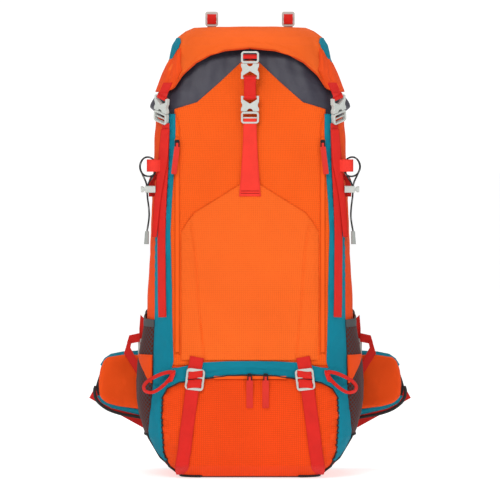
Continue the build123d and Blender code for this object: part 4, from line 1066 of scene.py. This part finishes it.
class PACK_OT_hood_gussets(bpy.types.Operator):
    """Reinforcing gussets along the hood's upper side edges, and the binding of the hood's hem.

    Surface: a grid on the hood's sections between a lower and an upper edge line, and a round section carried
    along the hem.
    """
    bl_idname = "pack.hood_gussets"
    bl_label = "Hood gussets"

    def execute(self, context):
        u = np.linspace(0, 1, 70)[None, :]
        v = np.linspace(0, 1, 24)[:, None]
        start = around(HOOD, HOOD_BACK, 115.0, 726.0)
        t = start + (aside(HOOD, HOOD_BACK, 90.0, 715.0) - start) * u + 0 * v
        low = line(u, [(0, 719), (0.03, 714), (0.07, 703), (0.12, 695), (1, 694)])
        high = line(u, [(0, 728), (0.05, 735), (0.14, 735), (1, 734)])
        z = low + (high - low) * v
        lift = 1.9 + 0.8 * step(v, 0, 0.3) * step(1 - v, 0, 0.3)
        right = wrap(HOOD, HOOD_BACK, t, z, lift)
        finish = cloth("teal_cloth", colours().teal, spread=0.13)
        skin("right_hood_gusset", right, "hood", finish, slot="lid_fabric")
        skin("left_hood_gusset", mirrored(right), "hood", finish, slot="lid_fabric")
        t = np.linspace(-0.66, 0.66, 260)
        hem = wrap(HOOD, HOOD_BACK, t, hem_height(t) + 0.4, -0.2)
        tube("hood_hem", hem, 1.5, "hood", cloth("hem_cloth", shade(colours().side, 0.8)), raw=True, slot="lid_fabric")
        return {"FINISHED"}


# ---- straps and trim --------------------------------------------------------------------------
class PACK_OT_front_straps(bpy.types.Operator):
    """Webbing of the front: the tapered tab, the middle strap, and the two base straps with their stitching.

    Surface: a strip with a slight crown, carried along a smooth path; its width tapers from end to end.
    """
    bl_idname = "pack.front_straps"
    bl_label = "Front straps"

    def execute(self, context):
        tab = tape("tab_webbing", colours().tab)
        down = (-1, 0, 0)
        path = [(0, -123.0, 602.5), (0, -127.6, 598), (0, -127.0, 588), (0, -126.0, 560), (0, -126.2, 520), (0, -127.4, 471)]
        band("front_tab_web", path, down, [22, 23, 26, 31, 36], "pack", tab, stands_for=("front_tab",), slot="tab_webbing")
        for z, half in ((476, 15.5), (480, 15.2)):
            x = np.linspace(-half, half, 24)
            tube(f"tab_stitch_{z}", np.stack([x, -128.2 + 0 * x, z + 0 * x], axis=1), 0.45, "pack",
                 cloth("stitch", shade(colours().webbing, 0.45)), raw=True, sides=6, slot="tab_webbing")
        path = [(0, -125.3, 672), (0, -126.6, 664), (0, -127.2, 650), (0, -126.4, 640), (0, -125.6, 632)]
        band("middle_strap_face", path, down, 18.5, "pack", red(), slot="red_webbing")
        for side, name in ((1, "left"), (-1, "right")):
            across = (-1, 0, -0.12 * side)
            z = np.array([204, 198, 191, 182.0])
            x = -side * line(z, [(182, 92.3), (204, 88)])
            path = on_bag(x, z, np.array([3.2, 3.6, 4.0, 4.2]))
            band(f"{name}_base_strap_top", path, across, 23, "pack", red(), count=24, stands_for=("base_straps",),
                 slot="red_webbing")
            z = np.array([156, 151, 146, 130, 110, 90, 70, 52, 36, 22, 12, 5.0])
            x = -side * line(z, [(5, 113.5), (22, 112.2), (80, 105.5), (146, 96.5), (161, 94.5)])
            path = on_bag(x, z, np.array([4.4, 4.3, 4.0, 3.4, 3.2, 3.4, 3.3, 3.4, 3.3, 3.2, 3.0, 2.6]))
            edge = [across, across, across, (-1, 0.12 * side, -0.12 * side), (-1, 0.35 * side, -0.12 * side)]
            band(f"{name}_base_strap", path, edge, [22.5] * 9 + [20, 15], "pack", red(), slot="red_webbing")
            for key, high, low in (("upper", 181.6, 169.0), ("lower", 166.6, 152.6)):
                z = np.linspace(high, low, 13)
                x = -side * line(z, [(148, 93.6), (186, 89.4)])
                bow = np.sin(np.linspace(0, math.pi, 13)) ** 0.5
                face = on_bag(x, z, 0 * z)
                face[:, 1] = -138.8 - 3.4 * bow
                band(f"{name}_base_fold_{key}", face, across, 23.4, "pack", red(), count=26, slot="red_webbing")
        return {"FINISHED"}


class PACK_OT_side_straps(bpy.types.Operator):
    """Compression straps of the two sides, each with its free tail ending in a point.

    Surface: a strip with a slight crown along a smooth path on the front corner of the bag, the tail further
    out and tapering to a point.
    """
    bl_idname = "pack.side_straps"
    bl_label = "Side straps"

    def execute(self, context):
        run_z = np.array([592, 580, 560, 520, 480, 440, 400, 345, 300, 270.0])
        run_x = line(run_z, [(270, 144.5), (300, 145), (413, 145.5), (463, 143.5), (529, 139.5), (592, 137.5)])
        run = on_bag(-run_x, run_z, np.array([4.8, 4.0, 3.2, 3.0, 3.1, 3.0, 3.1, 3.0, 3.0, 2.6]))
        tail_z = np.array([583, 572, 552, 529, 505, 480, 455, 428, 403.0])
        tail_x = line(tail_z, [(403, 153.5), (428, 152), (463, 149.6), (496, 145.5), (529, 141), (583, 136.6)])
        tail = on_bag(-tail_x, tail_z, np.array([7.4, 7.0, 6.6, 6.2, 6.2, 6.4, 6.8, 7.2, 7.6]))
        for side, name in ((1, "left"), (-1, "right")):
            flip = np.array([side, 1, 1])
            across = [(-0.80, 0.6 * side, 0), (-0.72, 0.66 * side, 0)]
            band(f"{name}_side_run", run * flip, across, [15, 14, 15, 16, 16.5, 16.5, 17], "pack", red(),
                 stands_for=(f"{name}_side_strap",), slot="red_webbing")
            band(f"{name}_side_tail", tail * flip, [(-0.85, 0.5 * side, 0.03), (-0.8, 0.55 * side, 0.05)],
                 [16, 17, 18, 17.5, 15, 13.5, 12.5, 11.5, 10.5, 8.5], "pack", red(), slot="red_webbing")
            z = np.linspace(278, 560, 95)
            wave = 0.9 * np.sin(z * 0.9) + 0.5 * np.sin(z * 1.7 + 1)
            x = -line(z, [(278, 139.8), (400, 140.8), (440, 138.6), (560, 134)]) + 0.6 * wave
            seam = on_bag(x, z, 2.2 + 0.35 * wave)
            tube(f"{name}_gathers", seam * flip, 0.6, "pack", charcoal_cloth(), raw=True, sides=6, slot="dark_fabric")
        return {"FINISHED"}


class PACK_OT_loops(bpy.types.Operator):
    """Tool loops at the ends of the arch and the folded tabs of the pole holders.

    Surface: narrow webbing carried round a smooth teardrop, twisted so that its face shows.
    """
    bl_idname = "pack.loops"
    bl_label = "Tool loops"

    def execute(self, context):
        drop = np.array([(-128, 180), (-140, 178.5), (-153, 174), (-168, 166), (-176, 157), (-174, 148.5), (-163, 146),
                         (-152, 151), (-140, 161), (-131, 171.5)], dtype=float)
        depth = np.array([-137.5, -141.5, -144, -145, -146, -147, -147, -147, -144.5, -139.5])
        path = smooth_path(np.stack([drop[:, 0], depth, drop[:, 1]], axis=1), 90)
        along = np.gradient(path, axis=0)
        normal = np.stack([-along[:, 2], 0 * along[:, 0], along[:, 0]], axis=1)
        normal /= np.linalg.norm(normal, axis=1, keepdims=True)
        across = normal * 0.5 + np.array([0, -0.85, 0])
        for side, name in ((1, "left"), (-1, "right")):
            flip = np.array([side, 1, 1])
            band(f"{name}_tool_loop", path * flip, across * flip, 7.6, "pack", red(), thick=0.0022, raw=True,
                 stands_for=("gear_loops",), slot="red_webbing")
            bar = [(-128, -135, 181), (-128, -139.8, 178), (-130, -140.6, 172), (-133, -139.5, 165), (-135, -135, 162)]
            band(f"{name}_loop_bartack", np.array(bar) * flip, (0.9, 0, 0.35 * side), 8, "pack", red(), slot="red_webbing")
            tab = [(-147, -100, 531.5), (-156, -112, 531.8), (-164, -115.5, 529), (-168.5, -115, 522),
                   (-164, -115.5, 515), (-156, -112, 512.3), (-147, -100, 512.5)]
            tab = [(-148, -97, 522), (-156, -103.3, 522), (-166, -105.0, 522), (-171.4, -108, 522), (-167, -113.6, 522),
                   (-157.5, -115.6, 522), (-148, -112.5, 522)]
            band(f"{name}_pole_tab", np.array(tab) * flip, (0, 0, 1), 20.5, "pack", tape("tab_webbing", colours().tab),
                 slot="red_webbing", thick=0.0014)
            web = [(-146, -97, 506), (-158, -95.5, 503), (-163.5, -95.5, 497), (-164, -95.4, 484), (-163.8, -95.4, 470)]
            band(f"{name}_lock_web", np.array(web) * flip, (1, 0, 0), 10, "pack", red(), slot="red_webbing")
        return {"FINISHED"}


class PACK_OT_cords(bpy.types.Operator):
    """Elastic cords of the pole holders: twice round the tab and down through the lock to a moulded end.

    A smooth curve through the route of each cord.
    """
    bl_idname = "pack.cords"
    bl_label = "Pole holder cords"

    ROUTE = (
        (-171.5, -106.4, 413), (-167.6, -106.4, 432), (-168.2, -106.4, 452), (-171.3, -106.4, 471),
        (-170.9, -106.4, 491), (-161.5, -106.2, 503.5), (-155.0, -106.0, 519), (-161.0, -106.5, 535),
        (-176.5, -107.8, 537), (-185.5, -108.2, 521), (-178.0, -108.6, 504.5), (-160.5, -109.9, 503.5),
        (-154.8, -109.9, 519), (-161.0, -110.2, 535), (-176.5, -112.0, 537), (-184.5, -113.0, 521),
        (-178.5, -112.4, 506), (-171.2, -109.6, 491), (-171.2, -109.6, 471), (-168.2, -109.6, 452),
        (-167.6, -109.6, 432), (-171.5, -109.6, 413),
    )

    def execute(self, context):
        finish = braid("elastic_braid", colours().cord)
        paint_node("cord_ends", plastic("cord_end_plastic", shade(colours().plastic, 0.6)))
        for side, name in ((1, "left"), (-1, "right")):
            data = bpy.data.curves.new(f"{name}_pole_elastic", "CURVE")
            data.dimensions = "3D"
            spline = data.splines.new("NURBS")
            spline.points.add(len(self.ROUTE) - 1)
            places = np.array([(x * side * MM, y * MM, z * MM, 1.0) for x, y, z in self.ROUTE], dtype=np.float32)
            spline.points.foreach_set("co", places.ravel())
            spline.order_u = 3
            spline.use_endpoint_u = True
            spline.resolution_u = 8
            data.bevel_depth = sizes().cord / 2
            data.bevel_resolution = 3
            data.materials.append(finish)
            piece = bpy.data.objects.new(f"{name}_pole_elastic", data)
            context.scene.collection.objects.link(piece)
            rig.ride(piece, "pack")
            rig.replaces(piece, f"{name}_pole_cord")
            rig.slot(piece, "elastic")
            ends = [frame["nodes"]["cord_ends"]]
            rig.cord(piece, exit=(-0.1715 * side, -0.1064, 0.413), length=0.362, diameter=0.003, far_end="fitting",
                    stiffness="limp", lay="hanging", with_pieces=ends)
        return {"FINISHED"}


# ---- side pockets -----------------------------------------------------------------------------
class PACK_OT_side_pockets(bpy.types.Operator):
    """Stretch pockets of the two sides: mesh above and below a band of cloth, with a gathered elastic top.

    Surface: a grid round the plan section and up in z. It stands off the wall by a bow of the angle, is drawn
    in at its elastic top and its sewn foot, and is rippled along the elastic.
    """
    bl_idname = "pack.side_pockets"
    bl_label = "Side pockets"

    def place(self, low, high, lift_more=0.0, start=0.0, end=1.0, rows=60, columns=60):
        v = np.linspace(0, 1, rows)[:, None]
        u = start + (end - start) * np.linspace(0, 1, columns)[None, :]
        edge = line(np.linspace(low, high, rows), [(70, 168), (90, 166), (140, 161), (214, 160.4), (275, 158)])[:, None]
        slant = 9.0 * (1 - u)
        z = low + v * (high - low) - slant * step(low + v * (high - low), 230, 272)
        first = around(BAG, BAG_BACK, edge + 0 * u, z)
        t = first + (aside(BAG, BAG_BACK, 97.0, z) - first) * u
        bow = np.sin(math.pi * np.clip(u, 0, 1)) ** 0.35
        out = line(z, [(66, 2), (80, 7), (105, 12), (160, 13.5), (190, 12), (210, 8.5), (238, 4.5), (255, 2.6), (272, 2.0)])
        lift = 1.2 + bow * out + bow * ripple(u, z, (0.8, 16, 0.05, 0.4), (0.5, 33, 0.1, 1.2)) + lift_more
        return wrap(BAG, BAG_BACK, t, z, lift)

    def execute(self, context):
        # painted shade: the mesh holes show the side cloth darkened to 9 percent, for the cloth in shade inside the
        # pocket
        mesh = netting("pocket_mesh", colours().mesh, shade(colours().side, 0.09))
        cover = cloth("side_cloth", colours().side)
        rib = tape("pocket_elastic", (0.07, 0.07, 0.072))
        for turn, name in ((lambda g: g, "right"), (mirrored, "left")):
            skin(f"{name}_pocket_mesh", turn(self.place(72, 270)), "pack", mesh, stands_for=(f"{name}_side_pocket",),
                 slot="mesh")
            wedge = self.place(160, 207, 1.3, np.zeros((40, 1)), line(np.linspace(160, 207, 40), [
                (160, 0.005), (178, 0.06), (200, 0.16), (207, 0.24)])[:, None], 40, 40)
            skin(f"{name}_pocket_patch", turn(wedge), "pack", cover, slot="side_fabric")
            grid = self.place(260, 274.5, 0.9, rows=12, columns=160)
            skin(f"{name}_pocket_elastic", turn(grid), "pack", rib, thick=0.002, slot="elastic")
            foot = self.place(72, 74, 0.6, rows=2, columns=90)[0]
            tube(f"{name}_pocket_foot", turn(foot[None])[0], 1.9, "pack", charcoal_cloth(), raw=True, slot="dark_fabric")
        return {"FINISHED"}


# ---- padding ----------------------------------------------------------------------------------
def pillow(name, outline, front, back, y, body, finish, middle=None, dent=None, rings=22, power=2.6, fill=0.6, **more):
    """A closed padded form over an outline in x and z: crowned by front towards -y and by back towards +y.
    Height falls from the middle to the rim as (1 - r to the power) to the 1/power; dent(x, z, face) adds to it."""
    outline = np.asarray(outline, dtype=float)
    loop = np.vstack([outline, outline[:1]])
    run = np.concatenate([[0], np.cumsum(np.linalg.norm(np.diff(loop, axis=0), axis=1))])
    even = np.linspace(0, run[-1], 121)[:-1]
    rim = np.stack([np.interp(even, run, loop[:, k]) for k in (0, 1)], axis=1)
    for _ in range(3):
        rim = (np.roll(rim, 1, axis=0) + 2 * rim + np.roll(rim, -1, axis=0)) / 4
    middle = rim.mean(axis=0) if middle is None else np.asarray(middle, dtype=float)
    r = np.linspace(0, 1, rings) ** 0.8
    flat = middle + r[1:, None, None] * (rim - middle)
    high = (1 - r[1:, None] ** power) ** (1 / power) + 0 * flat[..., 0]
    near, far = y - front * high, y + back * high
    if dent is not None:
        near = near - dent(flat[..., 0], flat[..., 1], -1) * np.minimum(1, high * 1.5)
        far = far + dent(flat[..., 0], flat[..., 1], 1) * np.minimum(1, high * 1.5)
    face_a = np.stack([flat[..., 0], near, flat[..., 1]], axis=-1)
    face_b = np.stack([flat[..., 0], far, flat[..., 1]], axis=-1)[::-1][1:]
    grid = np.concatenate([face_a, face_b])
    n, m = grid.shape[:2]
    tip_a = np.array([middle[0], y - front, middle[1]])
    tip_b = np.array([middle[0], y + back, middle[1]])
    points = np.vstack([grid.reshape(-1, 3), tip_a, tip_b])
    faces = grid_faces(n, m, closed=True).tolist()
    faces += [(n * m, (k + 1) % m, k) for k in range(m)]
    faces += [(n * m + 1, (n - 1) * m + k, (n - 1) * m + (k + 1) % m) for k in range(m)]
    uv = points[:, [0, 2]] * MM
    area = np.sum(rim[:, 0] * np.roll(rim[:, 1], -1) - np.roll(rim[:, 0], -1) * rim[:, 1])
    if area > 0:
        faces = [f[::-1] for f in faces]
    data = bpy.data.meshes.new(name)
    data.from_pydata((points * MM).tolist(), [], faces)
    layer = data.uv_layers.new(name="UVMap")
    corners = np.empty(len(data.loops), dtype=np.int32)
    data.loops.foreach_get("vertex_index", corners)
    layer.data.foreach_set("uv", uv.astype(np.float32)[corners].ravel())
    data.polygons.foreach_set("use_smooth", [True] * len(data.polygons))
    piece = bpy.data.objects.new(name, data)
    bpy.context.scene.collection.objects.link(piece)
    data.materials.append(finish)
    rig.ride(piece, body)
    if more.get("stands_for"):
        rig.replaces(piece, *more["stands_for"])
    if more.get("slot"):
        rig.slot(piece, more["slot"])
    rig.padded(piece, fill)
    return piece


def sleeve(name, path, across, width, thick, body, finish, count=90, sides=28, fill=0.7, **more):
    """A padded strap: a rounded flat section carried along a smooth path, narrowing to closed ends."""
    spine = smooth_path(path, count)
    along = np.gradient(spine, axis=0)
    along /= np.linalg.norm(along, axis=1, keepdims=True)
    side = np.asarray(across, dtype=float)[None, :] + 0 * along
    side -= along * np.sum(side * along, axis=1, keepdims=True)
    side /= np.linalg.norm(side, axis=1, keepdims=True)
    up = np.cross(side, along)
    end = np.clip(np.minimum(np.arange(count), np.arange(count)[::-1]) / 7, 0, 1)
    end = np.sqrt(1 - (1 - end) ** 2)
    a = np.linspace(0, 2 * math.pi, sides, endpoint=False)[None, :]
    ca = np.sign(np.cos(a)) * np.abs(np.cos(a)) ** 0.55
    sa = np.sign(np.sin(a)) * np.abs(np.sin(a)) ** 0.75
    wide = (width / 2 * (0.72 + 0.28 * end))[:, None]
    high = (thick / 2 * (0.2 + 0.8 * end))[:, None]
    high = high * (1 - 0.16 * np.exp(-(((np.abs(ca) - 0.78) / 0.06) ** 2)))
    ring = spine[:, None] + side[:, None] * (wide * ca)[..., None] + up[:, None] * (high * sa)[..., None]
    points = np.vstack([ring.reshape(-1, 3), spine[:1], spine[-1:]])
    n = count
    faces = grid_faces(n, sides, closed=True).tolist()
    faces += [(n * sides, (k + 1) % sides, k) for k in range(sides)]
    faces += [(n * sides + 1, (n - 1) * sides + k, (n - 1) * sides + (k + 1) % sides) for k in range(sides)]
    run = np.concatenate([[0], np.cumsum(np.linalg.norm(np.diff(spine, axis=0), axis=1))])
    uv = np.stack(np.broadcast_arrays(wide * ca, run[:, None]), axis=-1).reshape(-1, 2)
    uv = np.vstack([uv, [[0, 0], [0, run[-1]]]]) * MM
    data = bpy.data.meshes.new(name)
    data.from_pydata((points * MM).tolist(), [], faces)
    layer = data.uv_layers.new(name="UVMap")
    corners = np.empty(len(data.loops), dtype=np.int32)
    data.loops.foreach_get("vertex_index", corners)
    layer.data.foreach_set("uv", uv.astype(np.float32)[corners].ravel())
    data.polygons.foreach_set("use_smooth", [True] * len(data.polygons))
    piece = bpy.data.objects.new(name, data)
    bpy.context.scene.collection.objects.link(piece)
    data.materials.append(finish)
    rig.ride(piece, body)
    if more.get("stands_for"):
        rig.replaces(piece, *more["stands_for"])
    if more.get("slot"):
        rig.slot(piece, more["slot"])
    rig.padded(piece, fill)
    return piece


class PACK_OT_hip_belt(bpy.types.Operator):
    """Hip wings with their zipped pockets, borders and piping.

    Surface: closed crowned forms over an outline in x and z, whose height falls off towards the rim.
    """
    bl_idname = "pack.hip_belt"
    bl_label = "Hip belt"

    WING = [(-100, 96), (-130, 95), (-190, 95), (-231, 101), (-248, 110), (-261, 126), (-265, 138), (-258, 160),
            (-248, 186), (-234, 195), (-190, 199), (-130, 197), (-100, 196)]
    POCKET = [(-184, 101), (-225, 106), (-246, 112), (-257, 122), (-259, 143), (-257, 166), (-252, 184), (-244, 192),
              (-214, 197), (-184, 196)]

    def execute(self, context):
        teal = cloth("teal_cloth", colours().teal, spread=0.13)
        foam = cloth("wing_cloth", colours().foam, spread=0.25)
        for side, name in ((1, "left"), (-1, "right")):
            flip = np.array([side, 1])
            flip3 = np.array([side, 1, 1])
            body = f"{name}_hip_wing"
            pillow(f"{name}_wing_pad", np.array(self.WING) * flip, 5.8, 5.5, 133, body, foam, power=5.0,
                   stands_for=(f"{name}_hip_wing",), slot="wing_padding",
                   dent=lambda x, z, face: crease(np.abs(z - 146), 20, 3.5, -1.6))
            rim = smooth_path([(-264, 122, 141), (-266, 124, 133), (-263.5, 124, 120), (-256, 123, 110.5),
                               (-242, 123, 101), (-222, 123, 94), (-204, 124, 90.5), (-184, 124, 87)], 120)
            tube(f"{name}_wing_piping", rim * flip3, 2.6, body, charcoal_cloth(), raw=True, slot="dark_fabric")
            u = np.linspace(0, 1, 60)[None, :]
            v = np.linspace(0, 1, 16)[:, None]
            top = np.array([(-184, 202.5), (-218, 200.5), (-238, 196.5), (-249, 189), (-256, 178)])
            top_in = np.array([(-184, 192), (-212, 193), (-234, 190), (-246, 183), (-253, 176)])
            low = np.array([(-262, 124), (-254, 112), (-236, 103), (-212, 97), (-184, 90)])
            low_in = np.array([(-254, 126), (-248, 116), (-234, 110), (-212, 106), (-184, 101)])
            for key, outer, inner in (("top", top, top_in), ("low", low, low_in)):
                k = np.linspace(0, 1, 5)
                ox, oz = np.interp(u, k, outer[:, 0]), np.interp(u, k, outer[:, 1])
                ix, iz = np.interp(u, k, inner[:, 0]), np.interp(u, k, inner[:, 1])
                x, z = ox + (ix - ox) * v, oz + (iz - oz) * v
                y = 127 - 11 * v ** 0.7 - 2.5 * np.sin(math.pi * v) + 0 * x
                grid = np.stack([x, y, z], axis=-1)
                grid = grid[::-1] if key == "low" else grid
                grid = grid if key == "top" else grid
                points = grid * flip3
                run_right = points[0, -1, 0] > points[0, 0, 0]
                up = points[-1, 30, 2] > points[0, 30, 2]
                points = points if run_right == up else points[:, ::-1]
                skin(f"{name}_wing_border_{key}", points, body, teal, slot="hip_fabric")
            pillow(f"{name}_hip_pouch", np.array(self.POCKET) * flip, 20.5, 3.0, 126.5, body,
                   cloth("hip_cloth", colours().hip, spread=0.14), power=5.0, stands_for=(f"{name}_hip_pocket",),
                   slot="hip_fabric", fill=0.5,
                   dent=lambda x, z, face: ripple(x, z, (0.8, 0.09, 0.05, 0.5), (0.6, -0.05, 0.11, 1.0)) * (face < 0))
            # the zip line is a darker orange tube with the front seams' finish: the zip's seam, with painted shade in
            # its groove
            zip_line = smooth_path([(-187, 111.5, 192.5), (-214, 112.5, 193), (-238, 115.5, 189.5), (-250, 119, 182)], 50)
            tube(f"{name}_hip_zip", zip_line * flip3, 1.0, body, cloth("seam_line_shade", shade(colours().front, 0.80)), raw=True,
                 slot="zip_tape")
        return {"FINISHED"}


class PACK_OT_back(bpy.types.Operator):
    """Padded back, lumbar pad and shoulder straps.

    Surface: closed crowned forms over an outline, channelled by bell-shaped grooves, and flat rounded sections
    carried along a path.
    """
    bl_idname = "pack.back"
    bl_label = "Back and harness"

    def execute(self, context):
        foam = cloth("harness_cloth", colours().foam, spread=0.25)
        mesh = cloth("back_mesh", shade(colours().foam, 1.5), spacing=0.0024, spread=0.2)
        half = [(112, 4), (142, 24), (171, 90), (173, 200), (157, 560), (149, 640), (140, 672), (122, 690)]
        outline = half + [(-x, z) for x, z in half[::-1]]

        def channels(x, z, face):
            return (face > 0) * (crease(np.abs(x), 20, 5, -3.5) + crease(np.abs(x), 112, 5, -3.2)
                                 + crease(z, 250, 5, -2.8) * (np.abs(x) > 22) + crease(z, 420, 5, -2.8) * (np.abs(x) > 22))

        pillow("back_padding", outline, 0.6, 13.2, 106.8, "pack", mesh, power=9.0, rings=70, middle=(0, 340),
               dent=channels, stands_for=("back_panel",), slot="back_padding")
        box = [(-92, 87), (92, 87), (97, 94), (97, 198), (92, 205), (-92, 205), (-97, 198), (-97, 94)]
        pillow("lumbar_padding", box, 0.3, 18.4, 121.0, "pack", foam, power=4.5, rings=40,
               dent=lambda x, z, face: (face > 0) * (crease(np.abs(x), 32, 5, -3.5)),
               stands_for=("lumbar_pad",), slot="back_padding")
        for side, name in ((1, "left"), (-1, "right")):
            run = [(-72, 125.5, 552), (-72, 126.5, 604), (-72, 140, 634), (-72, 161, 644.5), (-72, 183, 634),
                   (-72, 194, 606), (-72, 197, 540), (-72, 193.5, 460), (-72, 180, 382)]
            run = np.array(run, dtype=float)
            run[:, 1] += [0, 0, -1, -4, -3, -2, -1, -1, -1]
            sleeve(f"{name}_shoulder_pad", run * np.array([side, 1, 1]), (1, 0, 0), 60, 10, "pack", foam,
                   stands_for=(f"{name}_shoulder_strap",), slot="back_padding")
        return {"FINISHED"}


class PACK_OT_hardware(bpy.types.Operator):
    """Finishes for the buckles, locks, zips, frame and other hard pieces that keep their own shape."""
    bl_idname = "pack.hardware"
    bl_label = "Hardware"

    def execute(self, context):
        pale = plastic("pale_plastic", colours().plastic)
        webbing = tape("webbing_solid", colours().webbing, uv=False)
        black_metal = metal("zip_metal", (0.025, 0.025, 0.028))
        tables = {
            pale: ["front_buckles", "side_frames", "ladderlocks", "lid_buckles", "left_cord_lock", "right_cord_lock",
                   "left_lock_button", "right_lock_button", "left_sternum_strap", "right_sternum_strap",
                   "left_hip_buckle", "right_hip_buckle", "sternum_bars"],
            webbing: ["front_middle_strap", "lid_webbing", "harness_webbing", "stabiliser_tails", "left_hip_webbing",
                      "right_hip_webbing"],
            black_metal: ["front_left_slider", "front_right_slider", "base_left_slider", "base_right_slider"],
            metal("stay_metal", (0.55, 0.56, 0.58)): ["frame_stays"],
            plastic("frame_sheet", (0.05, 0.05, 0.055)): ["frame_sheet"],
            cloth("divider_cloth", colours().piping): ["divider"],
            cloth("zip_tape", shade(colours().front, 0.86)): ["zip_tracks", "lid_zip"],
            tape("pull_tape", shade(colours().tab, 0.80), uv=False): ["front_left_pull", "front_right_pull", "base_left_pull",
                                                         "base_right_pull"],
        }
        for finish, names in tables.items():
            for name in names:
                paint_node(name, finish)
        turn = np.linspace(0, 7 * math.pi, 100)
        for side, name in ((1, "left"), (-1, "right")):
            coil = np.stack([-side * (160.7 + 4.4 * turn / turn[-1]), -108 + 2.9 * np.cos(turn), 482.5 + 2.9 * np.sin(turn)], axis=1)
            spring = tube(f"{name}_lock_coil", coil, 0.32, "pack", metal("spring_steel", (0.6, 0.6, 0.62)), raw=True, sides=6,
                          stands_for=(f"{name}_lock_spring",), slot="steel")
            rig.squash(spring, f"{name}_lock_press", (1, 0, 0), (-0.160 * side, -0.108, 0.4825), keep=0.3)
        return {"FINISHED"}


# ---- stage ------------------------------------------------------------------------------------
class PACK_OT_stage(bpy.types.Operator):
    """Pale floor, soft lights and the camera."""
    bl_idname = "pack.stage"
    bl_label = "Stage"

    def execute(self, context):
        scene = context.scene
        scene.view_settings.view_transform = "Standard"
        paper = Nodes("floor", (0.72, 0.72, 0.72), 0.9, 0.1)
        paper.shader.inputs["Emission Color"].default_value = (1, 1, 1, 1)
        paper.shader.inputs["Emission Strength"].default_value = 0.62
        white = paper.made
        plane = bpy.data.meshes.new("floor")
        far = 30.0
        plane.from_pydata([(-far, -far, 0), (far, -far, 0), (far, far, 0), (-far, far, 0)], [], [(0, 1, 2, 3)])
        floor = bpy.data.objects.new("floor", plane)
        plane.materials.append(white)
        scene.collection.objects.link(floor)
        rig.stage(floor)
        world = bpy.data.worlds.new("studio")
        scene.world = world
        world.use_nodes = True
        nodes, links = world.node_tree.nodes, world.node_tree.links
        seen, path, mix = nodes.new("ShaderNodeBackground"), nodes.new("ShaderNodeLightPath"), nodes.new("ShaderNodeMixShader")
        for shader, strength in ((nodes["Background"], 0.54), (seen, 1.1)):
            shader.inputs["Color"].default_value = (1, 1, 1, 1)
            shader.inputs["Strength"].default_value = strength
        links.new(path.outputs["Is Camera Ray"], mix.inputs[0])
        links.new(nodes["Background"].outputs[0], mix.inputs[1])
        links.new(seen.outputs[0], mix.inputs[2])
        links.new(mix.outputs[0], nodes["World Output"].inputs["Surface"])
        aim = np.array([0.0, -0.05, 0.38])
        for name, place, power, size in (
            ("key", (-0.7, -2.9, 2.6), 58.0, 1.5), ("fill", (2.2, -2.6, 1.2), 8.0, 2.0), ("top", (0.2, 0.3, 3.0), 24.0, 1.6),
        ):
            lamp = bpy.data.lights.new(name, "AREA")
            lamp.energy = power
            lamp.size = size
            lit = bpy.data.objects.new(name, lamp)
            lit.location = place
            lit.rotation_euler = look(np.array(place), aim)
            scene.collection.objects.link(lit)
        lens = bpy.data.cameras.new("camera")
        lens.sensor_width = 36
        lens.lens = 390
        lens.clip_end = 100
        camera = bpy.data.objects.new("camera", lens)
        aim = np.array([0.0, -0.13, 0.382])
        rise = math.radians(1.8)
        away = np.array([0.0, -math.cos(rise), math.sin(rise)]) * 9.0
        camera.location = aim + away
        camera.rotation_euler = look(aim + away, aim)
        scene.collection.objects.link(camera)
        scene.camera = camera
        return {"FINISHED"}


def look(place, aim):
    """Rotation that points a camera or a lamp at a place from another."""
    from mathutils import Vector
    return Vector(tuple(aim - place)).to_track_quat("-Z", "Y").to_euler()


STEPS = [kind for kind in list(globals().values()) if isinstance(kind, type) and issubclass(kind, bpy.types.Operator)]


class PACK_PT_panel(bpy.types.Panel):
    """Lists every step of the build."""
    bl_idname = "PACK_PT_panel"
    bl_label = "Trekking pack"
    bl_space_type = "VIEW_3D"
    bl_region_type = "UI"
    bl_category = "Trekking pack"

    def draw(self, context):
        for made in STEPS:
            self.layout.operator(made.bl_idname, text=made.bl_label)
        for group in (context.scene.pack_colours, context.scene.pack_sizes):
            for key in group.__annotations__:
                self.layout.prop(group, key)


CLASSES = (PackColours, PackSizes, *STEPS, PACK_PT_panel)


def register():
    for made in CLASSES:
        bpy.utils.register_class(made)
    bpy.types.Scene.pack_colours = bpy.props.PointerProperty(type=PackColours)
    bpy.types.Scene.pack_sizes = bpy.props.PointerProperty(type=PackSizes)


def unregister():
    del bpy.types.Scene.pack_colours
    del bpy.types.Scene.pack_sizes
    for made in reversed(CLASSES):
        bpy.utils.unregister_class(made)


def main():
    register()
    for made in STEPS:
        group, name = made.bl_idname.split(".")
        getattr(getattr(bpy.ops, group), name)()
    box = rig.bounds()
    with open("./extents.json", "w") as out:
        json.dump({"cad": plain(CAD_BOX), "visual": plain(box)}, out)


def plain(box):
    """A box as plain lists of numbers."""
    return [[float(v) for v in corner] for corner in box]


if __name__ == "__main__":
    main()
